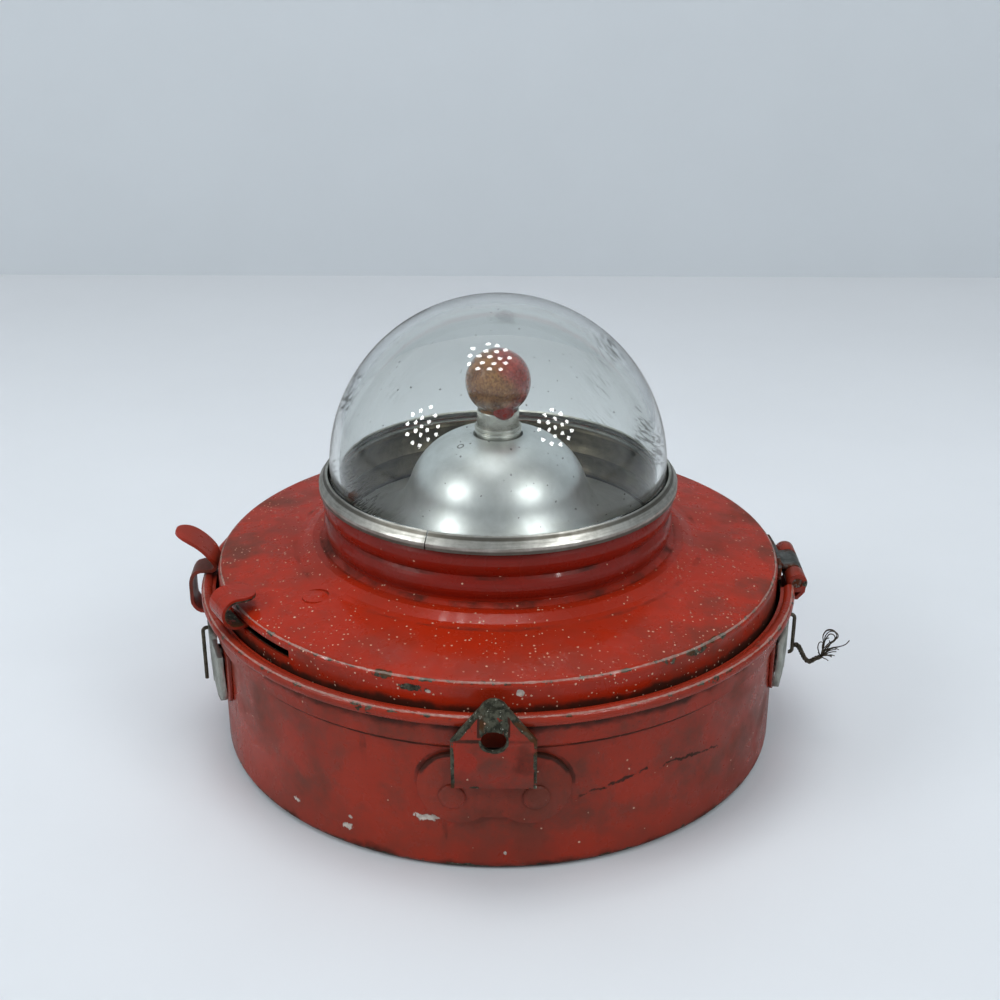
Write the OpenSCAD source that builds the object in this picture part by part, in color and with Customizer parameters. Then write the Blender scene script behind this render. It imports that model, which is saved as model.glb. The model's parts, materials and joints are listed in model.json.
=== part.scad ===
// Battery warning lantern: round steel can with a hinged lid, a glass dome over
// a bell reflector and a screw-in lamp, a slide switch, a snap catch and a hasp.
// Origin: centre of the flat underside. +Z up, front (hasp) towards -Y,
// hinge towards +X. Azimuths are degrees from the front, positive to +X.

/* [Can] */
// Outer radius of the can wall
can_r = 68; // [66.8:0.1:72]
// Sheet thickness of the can and the lid
sheet = 0.8; // [0.6:0.05:0.9]
// Height at which the wall steps out to form the lid socket
socket_z = 31.5; // [30:0.1:33]
// How far the socket stands out from the wall
socket_step = 1.5; // [1.4:0.1:2.2]
// Height of the centre of the rolled rim
rim_z = 39.1; // [38.6:0.1:39.8]
// Radius of the rolled rim's section
rim_bead = 1.4; // [1.1:0.05:1.5]
// Radius of the raised ring pressed in the floor
floor_ring_r = 50; // [40:1:56]

/* [Lid] */
// Gap between the lid's skirt and the socket
skirt_gap = 1; // [0.8:0.05:1.2]
// Height of the lid's shoulder
shoulder_z = 46.2; // [45.8:0.1:47]
// Radius of the rolled shoulder
shoulder_round = 1.6; // [1.2:0.1:1.8]
// Rise of the lid's cone from shoulder to pressed ring
lid_rise = 2.2; // [1.8:0.1:2.6]
// Outer radius of the neck between its beads
neck_r = 41; // [38:0.1:44]
// Width of the pressed ring round the neck's foot
ring_step_w = 8; // [7:0.1:10]
// How far the neck's two rolled beads stand out
neck_bead = 1.1; // [0.6:0.1:1.3]
// Height of the neck's lip
lip_z = 64.2; // [63:0.1:64.8]

/* [Lens] */
// How far the glass stands inside the neck's outer radius
glass_inset = 0.8; // [0.6:0.1:1.4]
// Glass thickness
glass_t = 2.2; // [1.6:0.1:2.8]
// Height of the straight foot below the hemisphere
dome_foot = 1.4; // [1:0.1:4]
// Thickness of the glass flange
glass_flange_t = 1.3; // [1:0.1:1.8]
// Thickness of the lens gasket
gasket_t = 0.4; // [0.3:0.1:0.8]
// Azimuth of the split in the retaining ring
ring_split_azimuth = -21; // [-60:1:0]

/* [Reflector and lamp] */
// Height of the reflector's crown
reflector_z = 75.2; // [74.6:0.1:75.6]
// Radius of the reflector's convex crown
crown_r = 17.2; // [16.6:0.1:17.8]
// Radius of the reflector's concave flare
flare_r = 19.5; // [19:0.1:20]
// Gap between the reflector's rim and the neck's inside
reflector_gap = 0.8; // [0.5:0.1:1.2]
// Radius of the lamp globe
globe_r = 7.7; // [6.8:0.1:8]
// Radius of the lamp's metal cap
cap_r = 5; // [4.7:0.1:5.2]
// Height of the lamp cap's top
cap_top_z = 81; // [80.5:0.5:84]

/* [Cells] */
// Diameter of one cell
cell_d = 32.6; // [32.3:0.1:33]
// Length of one cell over its contact button
cell_l = 59.5; // [59:0.1:59.9]

/* [Switch] */
// Azimuth of the switch lever at rest
lever_azimuth = -59; // [-62:1:-57]
// Travel of the switch lever in degrees
lever_travel = 14; // [8:1:14]
// Width of the switch lever
lever_w = 8; // [6:0.5:8.5]
// Height of the slot in the lid's skirt
slot_h = 2; // [1.8:0.1:2.4]

/* [Fittings] */
// Width of the snap catch
catch_w = 7; // [6:0.5:8]
// Gap along the wall between the left ear and the snap catch
catch_gap = 5.9; // [3:0.1:7]
// Azimuth of the left ear
left_ear_azimuth = -73.3; // [-76:0.1:-68]
// Width of an ear plate
ear_w = 14; // [12:0.5:16]
// Gap along the wall between the right ear's leg and the hinge leaf
ear_gap = 0.45; // [0.4:0.05:4]
// Thickness of an ear plate
ear_t = 1.2; // [0.9:0.1:1.4]
// Diameter of the bail wire
wire_d = 0.9; // [0.7:0.1:1]
// Length of the hinge barrel
hinge_l = 19.4; // [18:0.2:22]
// Outer radius of the hinge knuckles
knuckle_r = 2.4; // [2.2:0.1:2.5]
// Radius of the hinge pin
pin_r = 1.2; // [1:0.1:1.3]
// Half the width of the hasp plate
hasp_half_w = 8.8; // [7:0.2:10]
// Radius of the hole in the hasp plate
hasp_hole_r = 2.6; // [2:0.1:3]

/* [Hidden] */
$fn = 96;

// Clearances: plates lie this far off what they are fixed to, parts of
// different bodies stay clear by body_gap, and pins run with run_gap.
seat = 0.1;
body_gap = 0.3;
run_gap = 0.05;
eps = 0.01;

paint = [0.62, 0.12, 0.07];
bare_steel = [0.55, 0.56, 0.54];
zinc = [0.72, 0.74, 0.72];
dark_steel = [0.25, 0.24, 0.2];
brass = [0.7, 0.58, 0.3];
nickel = [0.75, 0.75, 0.72];
phenolic = [0.28, 0.15, 0.09];

// Can
corner_r = 2;
socket_r = can_r + socket_step;
rim_r = socket_r + rim_bead - 0.2;
flare_h = 1.4;
floor_ring_h = 0.6;
floor_ring_w = 3;
liner_t = 0.8;
liner_z = sheet + floor_ring_h + body_gap;
liner_wall_h = 6;
liner_gap = 0.7;

// Lid
lid_r = socket_r - sheet - skirt_gap;
skirt_z = socket_z + flare_h + body_gap;
cone_z = shoulder_z + lid_rise;
ring_step_r = neck_r + ring_step_w;
ring_in_r = neck_r + ring_step_w / 2;
ring_top_z = cone_z + 1.6;
neck_z = ring_top_z + 1;
bead_h = (lip_z - 1.4 - neck_z) / 2;
lip_flare = 1.2;

// Lens: gasket, glass flange and ring are stacked on the neck's lip
dome_r = neck_r - glass_inset;
gasket_w = 0.6;
gasket_z = lip_z + seat;
flange_z = gasket_z + gasket_t + seat;
dome_z = flange_z + glass_flange_t + dome_foot;
flange_r = dome_r + 1.2;
ring_t = 0.5;
ring_side_r = neck_r + lip_flare + 0.15 + ring_t / 2;
ring_in = dome_r + 0.5;
ring_top = flange_z + glass_flange_t + 0.5;
lip_t = 0.4;
ring_hook_z = lip_z - lip_t - 0.35 - ring_t / 2;
ring_split_w = 0.25;

// Lamp, socket and post, stacked downwards from the lamp's cap
cap_h = 11.6;
cap_t = 0.35;
cap_z = cap_top_z - cap_h;
globe_z = cap_top_z + 0.88 * globe_r;
tip_h = 1.2;
socket_top_z = reflector_z + 2.1;
socket_r_in = cap_r + 0.07;
socket_t = 0.3;
socket_z0 = cap_z - tip_h - 6;
socket_ring_r = socket_r_in + socket_t + 0.2;
reflector_hole = socket_ring_r + 0.25;
hole_lip_h = 1;
socket_roll_h = 1;
contact_r = 1.6;
contact_gap = 0.8;
contact_head_r = 2.8;
bridge_t = 1;
bridge_z = shoulder_z + 0.2 - bridge_t;
bridge_w = 18;
bridge_azimuth = -51;
rivet_r = 52.2;
bridge_r = rivet_r + 4.3;
post_r = 6.2;
post_flange_r = 11;
post_flange_h = 2.2;
post_z = bridge_z + bridge_t + seat;
spigot_r = 4.9;
reflector_t = 0.6;
reflector_rim_z = post_z + seat;

// Switch: the arm turns on the post's spigot and leaves through the slot
slot_z = shoulder_z - 3;
lever_t = 1;
lever_z = slot_z - lever_t / 2;
eye_r = 8;
washer_t = 0.7;
washer_z = lever_z - 0.3 - washer_t;
spigot_z = washer_z - 0.1;
lever_bend_r = 3.2;
lever_bend_x = lid_r + 1.3;
lever_tip_x = lid_r - 4.4;
lever_half_angle = asin(lever_w / 2 / lid_r);
slot_margin = 0.8;
contact_head_z = spigot_z - 1.2;

// Cells: four in a ring, each one's button against the next one's side
link_gap = 0.9;
link_t = 0.4;
link_h = 12;
cells_half = (cell_l + cell_d + link_gap) / 2;
button_l = 1.5;
button_r = 4.7;
cell_z = liner_z + liner_t + body_gap + cell_d / 2;
cell_top_z = cell_z + cell_d / 2;
tongue_z = cell_top_z + 0.6;
leaf_z = tongue_z + link_t + body_gap;

// Leg plates and ears on the wall. The right ear's leg stands clear of the hinge
// leaf by ear_gap, and the catch stands clear of the left ear by catch_gap.
leg_side = 0.2;
leg_front = 2.6;
leaf_w = 8;
hinge_leaf_z = 12;
right_ear_azimuth = 90 - (ear_w / 2 + leg_side + leaf_w / 2 + ear_gap) * 180 / PI / can_r;
catch_azimuth = left_ear_azimuth - (ear_w / 2 + catch_w / 2 + catch_gap) * 180 / PI / can_r;
function ear_azimuth(side) = side < 0 ? left_ear_azimuth : right_ear_azimuth;
leg_t = 0.7;
leg_in = can_r + seat;
leg_out = leg_in + leg_t;
leg_z = 16.4;
leg_corner = 4;
ear_in = leg_out + seat;
ear_z = 15.4;
ear_corner = 4;
ear_top_z = rim_z - rim_bead - 2.3;
ear_head_r = 3.6;
ear_bulge = 1.25;
ear_plan_r = 24;
eye_z = ear_top_z - 2.1;
ear_outer = ear_in + ear_bulge + ear_t;
hook_bend = 0.9;
hook_x = ear_outer + body_gap + hook_bend;
hook_drops = [12.6, 8.4];

// Snap catch: strap over the rim with a nose at the lid's edge and a thumb tab
catch_t = 0.9;
catch_knuckle = 0.9;
catch_x = max(leg_out, socket_r - 0.7) + body_gap + catch_knuckle;
catch_z = socket_z - 1.3;
catch_bulge_x = rim_r + rim_bead + 2.9;
catch_nose_x = lid_r + 0.55 + catch_t / 2;
catch_tab_w = catch_w + 2;
catch_tab_r = 14.1;
catch_tip_x = catch_nose_x + 0.5 + catch_tab_r * (cos(30) + cos(104)) + catch_t / 2;

// Hinge
hinge_x = socket_r + knuckle_r + 0.1;
hinge_z = rim_z + 1.2;
notch_z = hinge_z - knuckle_r - 0.4;
leaf_t = 0.9;
leaf_x = socket_r + 0.45 + leaf_t / 2;
knuckle_gap = 0.3;
lid_knuckle_l = 9.4;

// Hasp
hasp_t = 1;
hasp_lobe_r = 8.5;
hasp_lobe_x = 7.8;
hasp_lobe_z = 21.3;
hasp_rivet_x = 8.7;
hasp_rivet_z = 19.3;
hasp_bottom_z = 24.3;
hasp_crease_z = rim_z - 2.7;
hasp_peak_z = hasp_crease_z + 8.1;
hasp_crease_x = rim_r + rim_bead + 1.8;
hasp_bottom_x = hasp_crease_x - 1.6;
hasp_peak_x = hasp_crease_x - 3;
hasp_peak_r = 3.2;
hasp_rib_r = 2.9;
hasp_head_r = 2.9;
hasp_head_h = 0.9;

// Turns local +X to an azimuth from the front
module at(azimuth) rotate([0, 0, azimuth - 90]) children();

// Points of an arc in an outline, from angle a to angle b
function arc(cx, cy, r, a, b, n = 8) =
    [for (i = [0:n]) let (t = a + (b - a) * i / n) [cx + r * cos(t), cy + r * sin(t)]];

// Unit vector at right angles to the line from a to b
function side(a, b) = let (d = b - a) [-d[1], d[0]] / norm(d);

// Offset of point i of a centre line, mitred between its two segments
function mitre(p, i) =
    i == 0 ? side(p[0], p[1])
    : i == len(p) - 1 ? side(p[i - 1], p[i])
    : let (m = side(p[i - 1], p[i]), n = side(p[i], p[i + 1]))
        (m + n) / (1 + m * n);

// Outline of a strip of thickness t along a centre line
function strip(p, t) = concat(
    [for (i = [0:len(p) - 1]) p[i] + mitre(p, i) * t / 2],
    [for (i = [len(p) - 1:-1:0]) p[i] - mitre(p, i) * t / 2]);

// Strip bent in the radial plane, of a width across it
module bent_strip(line, t, w)
    rotate([90, 0, 0])
        linear_extrude(height = w, center = true)
            polygon(strip(line, t));

// Sector of a shell of revolution, cut to an outline drawn flat (x across, y up)
module wall_plate(r0, r1)
    intersection() {
        difference() {
            cylinder(r = r1, h = hasp_peak_z);
            translate([0, 0, -1]) cylinder(r = r0, h = hasp_peak_z + 2);
        }
        translate([r0 - 12, 0, 0])
            rotate([90, 0, 90])
                linear_extrude(height = 30) children();
    }

// Plate with a round lower end, drawn flat
module round_ended(w, z0, z1) {
    translate([0, z0 + w / 2]) circle(d = w);
    translate([-w / 2, z0 + w / 2]) square([w, z1 - z0 - w / 2]);
}

// Rivet along local +X: shank with a domed head outside and a tail inside
rivet_tail_h = 0.6;
module wall_rivet(x_in, x_out, r, head_r, head_h)
    translate([x_in, 0, 0])
        rotate([0, 90, 0])
            rotate_extrude()
                polygon(concat(
                    [[0, -seat - rivet_tail_h], [head_r * 0.8, -seat - rivet_tail_h],
                     [head_r * 0.8, -seat], [r, -seat]],
                    [[r, x_out - x_in]],
                    [for (i = [0:6]) [head_r * cos(i * 15), x_out - x_in + head_h * sin(i * 15)]]));

function can_outline() = concat(
    [[0, 0], [floor_ring_r - floor_ring_w, 0],
     [floor_ring_r - floor_ring_w + 1, floor_ring_h], [floor_ring_r + floor_ring_w - 1, floor_ring_h],
     [floor_ring_r + floor_ring_w, 0]],
    arc(can_r - corner_r, corner_r, corner_r, -90, 0, 6),
    [[can_r, socket_z - 1], [socket_r, socket_z + 0.6], [socket_r, rim_z + 0.6],
     [socket_r - sheet, rim_z + 0.6], [socket_r - sheet, socket_z + 0.9],
     [can_r - sheet, socket_z - 0.7]],
    arc(can_r - corner_r, corner_r, corner_r - sheet, 0, -90, 6),
    [[floor_ring_r + floor_ring_w + 0.3, sheet],
     [floor_ring_r + floor_ring_w - 0.7, sheet + floor_ring_h],
     [floor_ring_r - floor_ring_w + 0.7, sheet + floor_ring_h],
     [floor_ring_r - floor_ring_w - 0.3, sheet], [0, sheet]]);

module can_shell() color(paint)
    difference() {
        union() {
            rotate_extrude() polygon(can_outline());
            rotate_extrude() translate([rim_r, rim_z]) circle(r = rim_bead, $fn = 48);
        }
        // Rim cut away for the hinge barrel
        translate([lid_r - 4, -hinge_l / 2 - 0.8, notch_z])
            cube([20, hinge_l + 1.6, 20]);
        // Rivet holes
        for (p = rivet_places())
            at(p[0])
                translate([can_r - 4, 0, p[1]])
                    rotate([0, 90, 0]) cylinder(r = rivet_shank + run_gap, h = 8, $fn = 32);
    }

rivet_shank = 1.5;
hasp_rivet_azimuth = asin(hasp_rivet_x / can_r);
ear_rivet_z = ear_z + 5;
ear_rivet_step = 6.5;
function hasp_rivet_places() = [for (s = [-1, 1]) [s * hasp_rivet_azimuth, hasp_rivet_z]];
function ear_rivet_places() =
    [for (s = [-1, 1], i = [0, 1]) [ear_azimuth(s), ear_rivet_z + i * ear_rivet_step]];
function rivet_places() = concat(hasp_rivet_places(), ear_rivet_places());

// Fibre liner under the cells
module cell_liner() color([0.45, 0.36, 0.24])
    rotate_extrude() {
        polygon([[0, liner_z], [can_r - sheet - liner_gap, liner_z],
            [can_r - sheet - liner_gap, liner_z + liner_wall_h],
            [can_r - sheet - liner_gap - liner_t, liner_z + liner_wall_h],
            [can_r - sheet - liner_gap - liner_t, liner_z + liner_t], [0, liner_z + liner_t]]);
    }

// One cell of the ring of four, turned by quarter turns
module cell(i) color([0.2, 0.22, 0.26])
    rotate([0, 0, 90 * i])
        translate([-cells_half, cell_d / 2 - cells_half, cell_z])
            rotate([0, 90, 0])
                rotate_extrude()
                    polygon(concat(
                        [[0, 0.4], [cell_d / 2 - 3, 0.4], [cell_d / 2 - 3, 0]],
                        arc(cell_d / 2 - 0.8, 0.8, 0.8, -90, 0, 3),
                        arc(cell_d / 2 - 0.8, cell_l - button_l - 0.8, 0.8, 0, 90, 3),
                        [[cell_d / 2 - 3, cell_l - button_l], [cell_d / 2 - 3, cell_l - button_l - 0.4],
                         [button_r + 0.8, cell_l - button_l - 0.4], [button_r, cell_l - 0.4],
                         [button_r - 0.4, cell_l], [0, cell_l]]));

module cell_1() cell(0);
module cell_2() cell(1);
module cell_3() cell(2);
module cell_4() cell(3);

link_x = cells_half - cell_d - link_gap + (link_gap - link_t) / 2;
link_y = cell_d / 2 - cells_half;

// Strips from each cell's button round to the next cell's flat end
module cell_links() color(brass)
    for (i = [0:2])
        rotate([0, 0, 90 * i])
            translate([0, 0, cell_z - link_h / 2])
                linear_extrude(height = link_h)
                    polygon([[link_x, link_y + 5], [link_x, -cells_half - 0.3 - link_t],
                        [cells_half - cell_d / 2 + 3, -cells_half - 0.3 - link_t],
                        [cells_half - cell_d / 2 + 3, -cells_half - 0.3],
                        [link_x + link_t, -cells_half - 0.3], [link_x + link_t, link_y + 5]]);

// Last button's strip, which rises in the middle well and ends in a flat tongue
module terminal_strip() color(brass)
    rotate([0, 0, 270]) {
        translate([link_x, link_y - 4, cell_z - 4]) cube([link_t, 4 - link_y + 4, 8]);
        translate([link_x, -4, cell_z - 4]) cube([link_t, 8, tongue_z + link_t - cell_z + 4]);
        translate([-5, -4, tongue_z]) cube([link_x + link_t + 5, 8, link_t]);
    }

// Bowed spring from the first cell's flat end to the can wall, which it follows
// where it presses on it
spring_w = 10;
spring_x = -cells_half - 0.3 - link_t / 2;
spring_wall_r = can_r - sheet - body_gap - link_t / 2;
function chord(v) = sqrt(max(0, pow(spring_wall_r, 2) - pow(v, 2)));
spring_bow = min(6.5, chord(spring_x - 3 * link_t) + link_y);
spring_reach = chord(link_y) + spring_x;
function spring_line() = concat(
    [[spring_x, link_y + 8], [spring_x, link_y - spring_bow]],
    [for (i = [1:11]) let (y = link_y - spring_bow * cos(i * 15))
        [max(spring_x - 2 * link_t - (spring_reach - 2 * link_t) * sin(i * 15), -chord(y)), y]]);

module ground_spring() color(brass)
    translate([0, 0, cell_z - spring_w / 2])
        linear_extrude(height = spring_w)
            polygon(strip(spring_line(), link_t));

// Hasp: base plate with two lobes, and a peaked plate with turned-back sides
module hasp_base() color(paint)
    at(0)
        difference() {
            wall_plate(leg_in, leg_in + hasp_t) {
                for (s = [-1, 1]) translate([s * hasp_lobe_x, hasp_lobe_z]) circle(r = hasp_lobe_r);
                translate([-hasp_lobe_x, hasp_lobe_z - hasp_lobe_r + 1.7])
                    square([2 * hasp_lobe_x, 2 * hasp_lobe_r - 2]);
            }
            for (p = hasp_rivet_places())
                rotate([0, 0, p[0]])
                    translate([can_r - 4, 0, p[1]])
                        rotate([0, 90, 0]) cylinder(r = rivet_shank + run_gap, h = 12, $fn = 32);
        }

module hasp_outline() {
    let (peak = hasp_peak_z - hasp_peak_r, s = hasp_peak_r * 0.8)
    polygon([[-hasp_half_w, hasp_bottom_z], [hasp_half_w, hasp_bottom_z],
        [hasp_half_w, hasp_crease_z], [s, peak + s * 0.72], [-s, peak + s * 0.72],
        [-hasp_half_w, hasp_crease_z]]);
    translate([0, hasp_peak_z - hasp_peak_r]) circle(r = hasp_peak_r);
}

module hasp_plate() color(paint)
    let (lean = atan2(hasp_crease_x - hasp_peak_x, hasp_peak_z - hasp_crease_z))
    at(0)
        difference() {
            union() {
                intersection() {
                    bent_strip([[hasp_bottom_x, hasp_bottom_z - 1], [hasp_crease_x, hasp_crease_z],
                        [hasp_peak_x, hasp_peak_z + 1]], hasp_t, 2 * hasp_half_w + 2);
                    translate([60, 0, 0])
                        rotate([90, 0, 90]) linear_extrude(height = 30) hasp_outline();
                }
                // Sides turned back to the base plate, below the socket
                for (s = [-1, 1])
                    translate([0, s * (hasp_half_w - hasp_t / 2), 0])
                        rotate([90, 0, 0])
                            linear_extrude(height = hasp_t, center = true)
                                polygon([[leg_in + hasp_t - 0.1, hasp_bottom_z + 0.5],
                                    [hasp_bottom_x + 0.4, hasp_bottom_z + 0.5],
                                    [hasp_crease_x - 0.2, hasp_crease_z - 0.4],
                                    [socket_r + 1, hasp_crease_z - 2.4],
                                    [socket_r + 0.6, socket_z - 0.2],
                                    [leg_in + hasp_t - 0.1, socket_z - 1.9]]);
                // Rounded rib from the hole to the peak
                intersection() {
                    translate([hasp_crease_x, 0, hasp_crease_z])
                        rotate([0, -lean, 0])
                            translate([-hasp_rib_r * 0.35, 0, 0])
                                cylinder(r = hasp_rib_r, h = hasp_peak_z - hasp_crease_z - 1.6, $fn = 48);
                    translate([hasp_peak_x - 0.1, -5, hasp_crease_z]) cube([10, 10, 10]);
                    bent_strip([[hasp_crease_x + 1.2, hasp_crease_z - 1],
                        [hasp_peak_x + 1.2, hasp_peak_z + 2]], 3, 10);
                }
            }
            translate([hasp_crease_x - 4, 0, hasp_crease_z])
                rotate([0, 90, 0]) cylinder(r = hasp_hole_r, h = 10, $fn = 48);
        }

module hasp_rivets() color(paint)
    for (p = hasp_rivet_places())
        at(p[0])
            translate([0, 0, p[1]])
                wall_rivet(can_r - sheet, leg_in + hasp_t + seat, rivet_shank, hasp_head_r, hasp_head_h);

// Painted legs under the ears; the left one carries the snap catch
module leg(azimuth, y0, y1, z1) color(paint)
    difference() {
        at(azimuth)
            wall_plate(leg_in, leg_out) {
                translate([y0, leg_z + leg_corner]) square([y1 - y0, z1 - leg_z - leg_corner]);
                for (y = [y0 + leg_corner, y1 - leg_corner])
                    translate([y, leg_z + leg_corner]) circle(r = leg_corner);
                translate([y0 + leg_corner, leg_z]) square([y1 - y0 - 2 * leg_corner, leg_corner + 1]);
            }
        for (p = ear_rivet_places())
            at(p[0])
                translate([can_r - 4, 0, p[1]])
                    rotate([0, 90, 0]) cylinder(r = rivet_shank + run_gap, h = 12, $fn = 32);
    }

// Distance along the wall from the left ear's centre to the catch
catch_step = (left_ear_azimuth - catch_azimuth) * PI / 180 * can_r;

module catch_leg()
    leg(left_ear_azimuth, -catch_step - catch_w / 2 - 1, ear_w / 2 + leg_front, catch_z - 0.3);
module ear_leg() leg(right_ear_azimuth, -ear_w / 2 - leg_front, ear_w / 2 + leg_side, catch_z - 0.3);

// Catch strap: knuckle at its foot, bulge over the rim, nose, and thumb tab
function catch_line() = concat(
    [[catch_x, catch_z], [catch_bulge_x - 1.9, catch_z + 0.5],
     [catch_bulge_x - 0.5, catch_z + 1.7], [catch_bulge_x, catch_z + 3.4],
     [catch_bulge_x, rim_z - 1.4], [catch_bulge_x - 0.4, rim_z + 0.6],
     [catch_bulge_x - 1.5, rim_z + 1.9], [catch_bulge_x - 2.6, rim_z + 2.25], [catch_nose_x + 1.6, rim_z + 2.25]],
    arc(catch_nose_x + 1.2, rim_z + 3.5, 1.2, -110, -200, 4),
    arc(catch_nose_x + 0.5 + catch_tab_r * cos(30), rim_z + 5.2 - 0.5 * catch_tab_r, catch_tab_r, 150, 104, 8));

module snap_catch() color(paint)
    at(catch_azimuth) {
        intersection() {
            bent_strip(catch_line(), catch_t, catch_tab_w);
            union() {
                // Plan of the strap, and above the lid's edge the plan of the tab
                translate([catch_x - 5, -catch_w / 2, catch_z - 5])
                    cube([catch_tip_x - catch_tab_w / 2 - catch_x + 5, catch_w, 40]);
                translate([catch_tip_x - catch_tab_w / 2, 0, rim_z + 3.4])
                    cylinder(d = catch_tab_w, h = 30);
            }
        }
        translate([catch_x, 0, catch_z])
            rotate([90, 0, 0]) cylinder(r = catch_knuckle, h = catch_w, center = true, $fn = 32);
    }

// Ear plate: pressed convex both ways so that its edges lie on the leg, narrower
// above the socket, and pierced for the bail wire and two rivets
ear_axis_x = ear_in + ear_bulge + ear_t - ear_plan_r;
function ear_line() = [for (p = [[0.1, -1], [0.4, 1.5], [0.76, 5], [0.92, 9.5], [1, ear_top_z - ear_z + 1]])
    [ear_in + ear_t / 2 + ear_bulge * p[0] - ear_axis_x, ear_z + p[1]]];

module ear_outline() {
    for (y = [-1, 1] * (ear_w / 2 - ear_corner))
        translate([y, ear_z + ear_corner]) circle(r = ear_corner);
    translate([ear_corner - ear_w / 2, ear_z]) square([ear_w - 2 * ear_corner, ear_corner + 1]);
    polygon([[-ear_w / 2, ear_z + ear_corner], [ear_w / 2, ear_z + ear_corner], [ear_w / 2, socket_z - 3],
        [ear_head_r, ear_top_z - ear_head_r], [-ear_head_r, ear_top_z - ear_head_r], [-ear_w / 2, socket_z - 3]]);
    translate([0, ear_top_z - ear_head_r]) circle(r = ear_head_r);
}

module ear(side) color(zinc)
    at(ear_azimuth(side))
        difference() {
            intersection() {
                translate([ear_axis_x, 0, 0]) rotate_extrude() polygon(strip(ear_line(), ear_t));
                translate([can_r - 10, 0, 0])
                    rotate([90, 0, 90]) linear_extrude(height = 30) ear_outline();
            }
            translate([can_r, 0, eye_z])
                rotate([0, 90, 0]) cylinder(r = wire_d / 2 + 0.07, h = 12, $fn = 32);
            for (i = [0, 1])
                translate([can_r, 0, ear_rivet_z + i * ear_rivet_step])
                    rotate([0, 90, 0]) cylinder(r = rivet_shank + run_gap, h = 12, $fn = 32);
        }

module ear_left() ear(-1);
module ear_right() ear(1);

// Flush rivets through ear, leg and wall
module ear_rivets() color(zinc)
    for (s = [-1, 1], i = [0, 1])
        at(ear_azimuth(s))
            translate([can_r - sheet - 0.6, 0, ear_rivet_z + i * ear_rivet_step])
                rotate([0, 90, 0]) {
                    cylinder(r = rivet_shank, h = ear_in + ear_bulge * 0.74 + ear_t - can_r + sheet + 0.6, $fn = 32);
                    cylinder(r = rivet_shank + 1, h = 0.5, $fn = 32);
                }

// Stub of the bail: tail through the ear, bend and straight drop; the right
// one's end is curled inwards
module quarter_bend()
    rotate([90, 0, 0])
        rotate_extrude(angle = 90) translate([hook_bend, 0]) circle(d = wire_d, $fn = 24);

module bail_hook(side) color(dark_steel)
    let (drop = hook_drops[side < 0 ? 0 : 1])
    at(ear_azimuth(side))
        translate([0, 0, eye_z]) {
            translate([socket_r + 0.3, 0, 0])
                rotate([0, 90, 0]) cylinder(d = wire_d, h = hook_x - hook_bend - socket_r - 0.3, $fn = 24);
            translate([hook_x - hook_bend, 0, -hook_bend]) quarter_bend();
            translate([hook_x, 0, -hook_bend - drop]) cylinder(d = wire_d, h = drop, $fn = 24);
            if (side > 0)
                translate([hook_x - hook_bend, 0, -hook_bend - drop]) rotate([0, 90, 0]) quarter_bend();
        }

module bail_hook_left() bail_hook(-1);
module bail_hook_right() bail_hook(1);

// Tube with n sides along a route of points; every ring is square to the route
function heading(p, i) =
    let (a = p[max(i - 1, 0)], b = p[min(i + 1, len(p) - 1)]) (b - a) / norm(b - a);
function ring_points(p, d, r, n) =
    let (u = cross(d, [0, 1, 0.01]), v = u / norm(u), w = cross(v, d))
    [for (k = [0:n - 1]) p + r * (cos(360 * k / n) * v + sin(360 * k / n) * w)];

module tube(p, r, n) {
    last = len(p) - 1;
    polyhedron(
        points = [for (i = [0:last]) each ring_points(p[i], heading(p, i), r, n)],
        faces = concat(
            [[for (k = [n - 1:-1:0]) k]],
            [for (i = [0:last - 1], k = [0:n - 1])
                each [[i * n + k, (i + 1) * n + (k + 1) % n, (i + 1) * n + k],
                      [i * n + k, i * n + (k + 1) % n, (i + 1) * n + (k + 1) % n]]],
            [[for (k = [0:n - 1]) last * n + k]]));
}

// Frayed end of a wire rope that is caught beside the right hook's curl: a rope
// that sags and rises again, and loose strands. Points run outwards, sideways, up.
rope_r = 0.55;
strand_r = 0.22;
rope_gap = 0.1;
rope_route = [[0, 0, 0], [0.4, 0, 0], [1, 0, -0.4], [1.5, 0, -1.3], [2, 0, -2.3], [2.6, 0, -3.4],
    [3.3, 0, -4.15], [3.9, 0, -4.3], [4.5, 0, -3.9], [5.2, 0, -3.3], [6, 0, -2.9], [6.4, 0, -2.6]];
strand_routes = [
    [[0, 0.25, -0.1], [0.1, 0.4, 1.8], [-0.1, 0.7, 3.8], [0, 1, 5.8], [0.5, 1.1, 7.3], [1.3, 1, 7.9],
     [2.3, 0.7, 7.2], [3.1, 0.5, 6.4], [2.6, 0.3, 5.2], [1.5, 0.3, 3.9]],
    [[-0.2, -0.2, -0.1], [-0.9, -0.5, 1.4], [-1.1, -0.8, 3], [-0.5, -0.8, 4], [0.2, -0.7, 3.7]],
    [[0.2, -0.2, -0.2], [1, -0.6, 1.1], [2.4, -0.9, 2.6], [4.5, -0.9, 3.1], [5.9, -0.6, 4.1], [6.7, -0.4, 5]],
    [[0.3, 0.1, -0.2], [1.2, 0.5, 0.6], [2.4, 0.9, 1.3], [3.4, 1.2, 1.1]]];

module wire_stub() color(dark_steel)
    at(right_ear_azimuth)
        translate([hook_x + wire_d / 2 + rope_gap, 0, eye_z - hook_bend - hook_drops[1] + 1.2]) {
            tube(rope_route, rope_r, 10);
            translate(rope_route[len(rope_route) - 1])
                for (p = strand_routes) tube(p, strand_r, 6);
        }

// Hinge
module knuckle(y0, y1)
    translate([hinge_x, y1, hinge_z])
        rotate([90, 0, 0])
            cylinder(r = knuckle_r, h = y1 - y0);

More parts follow.
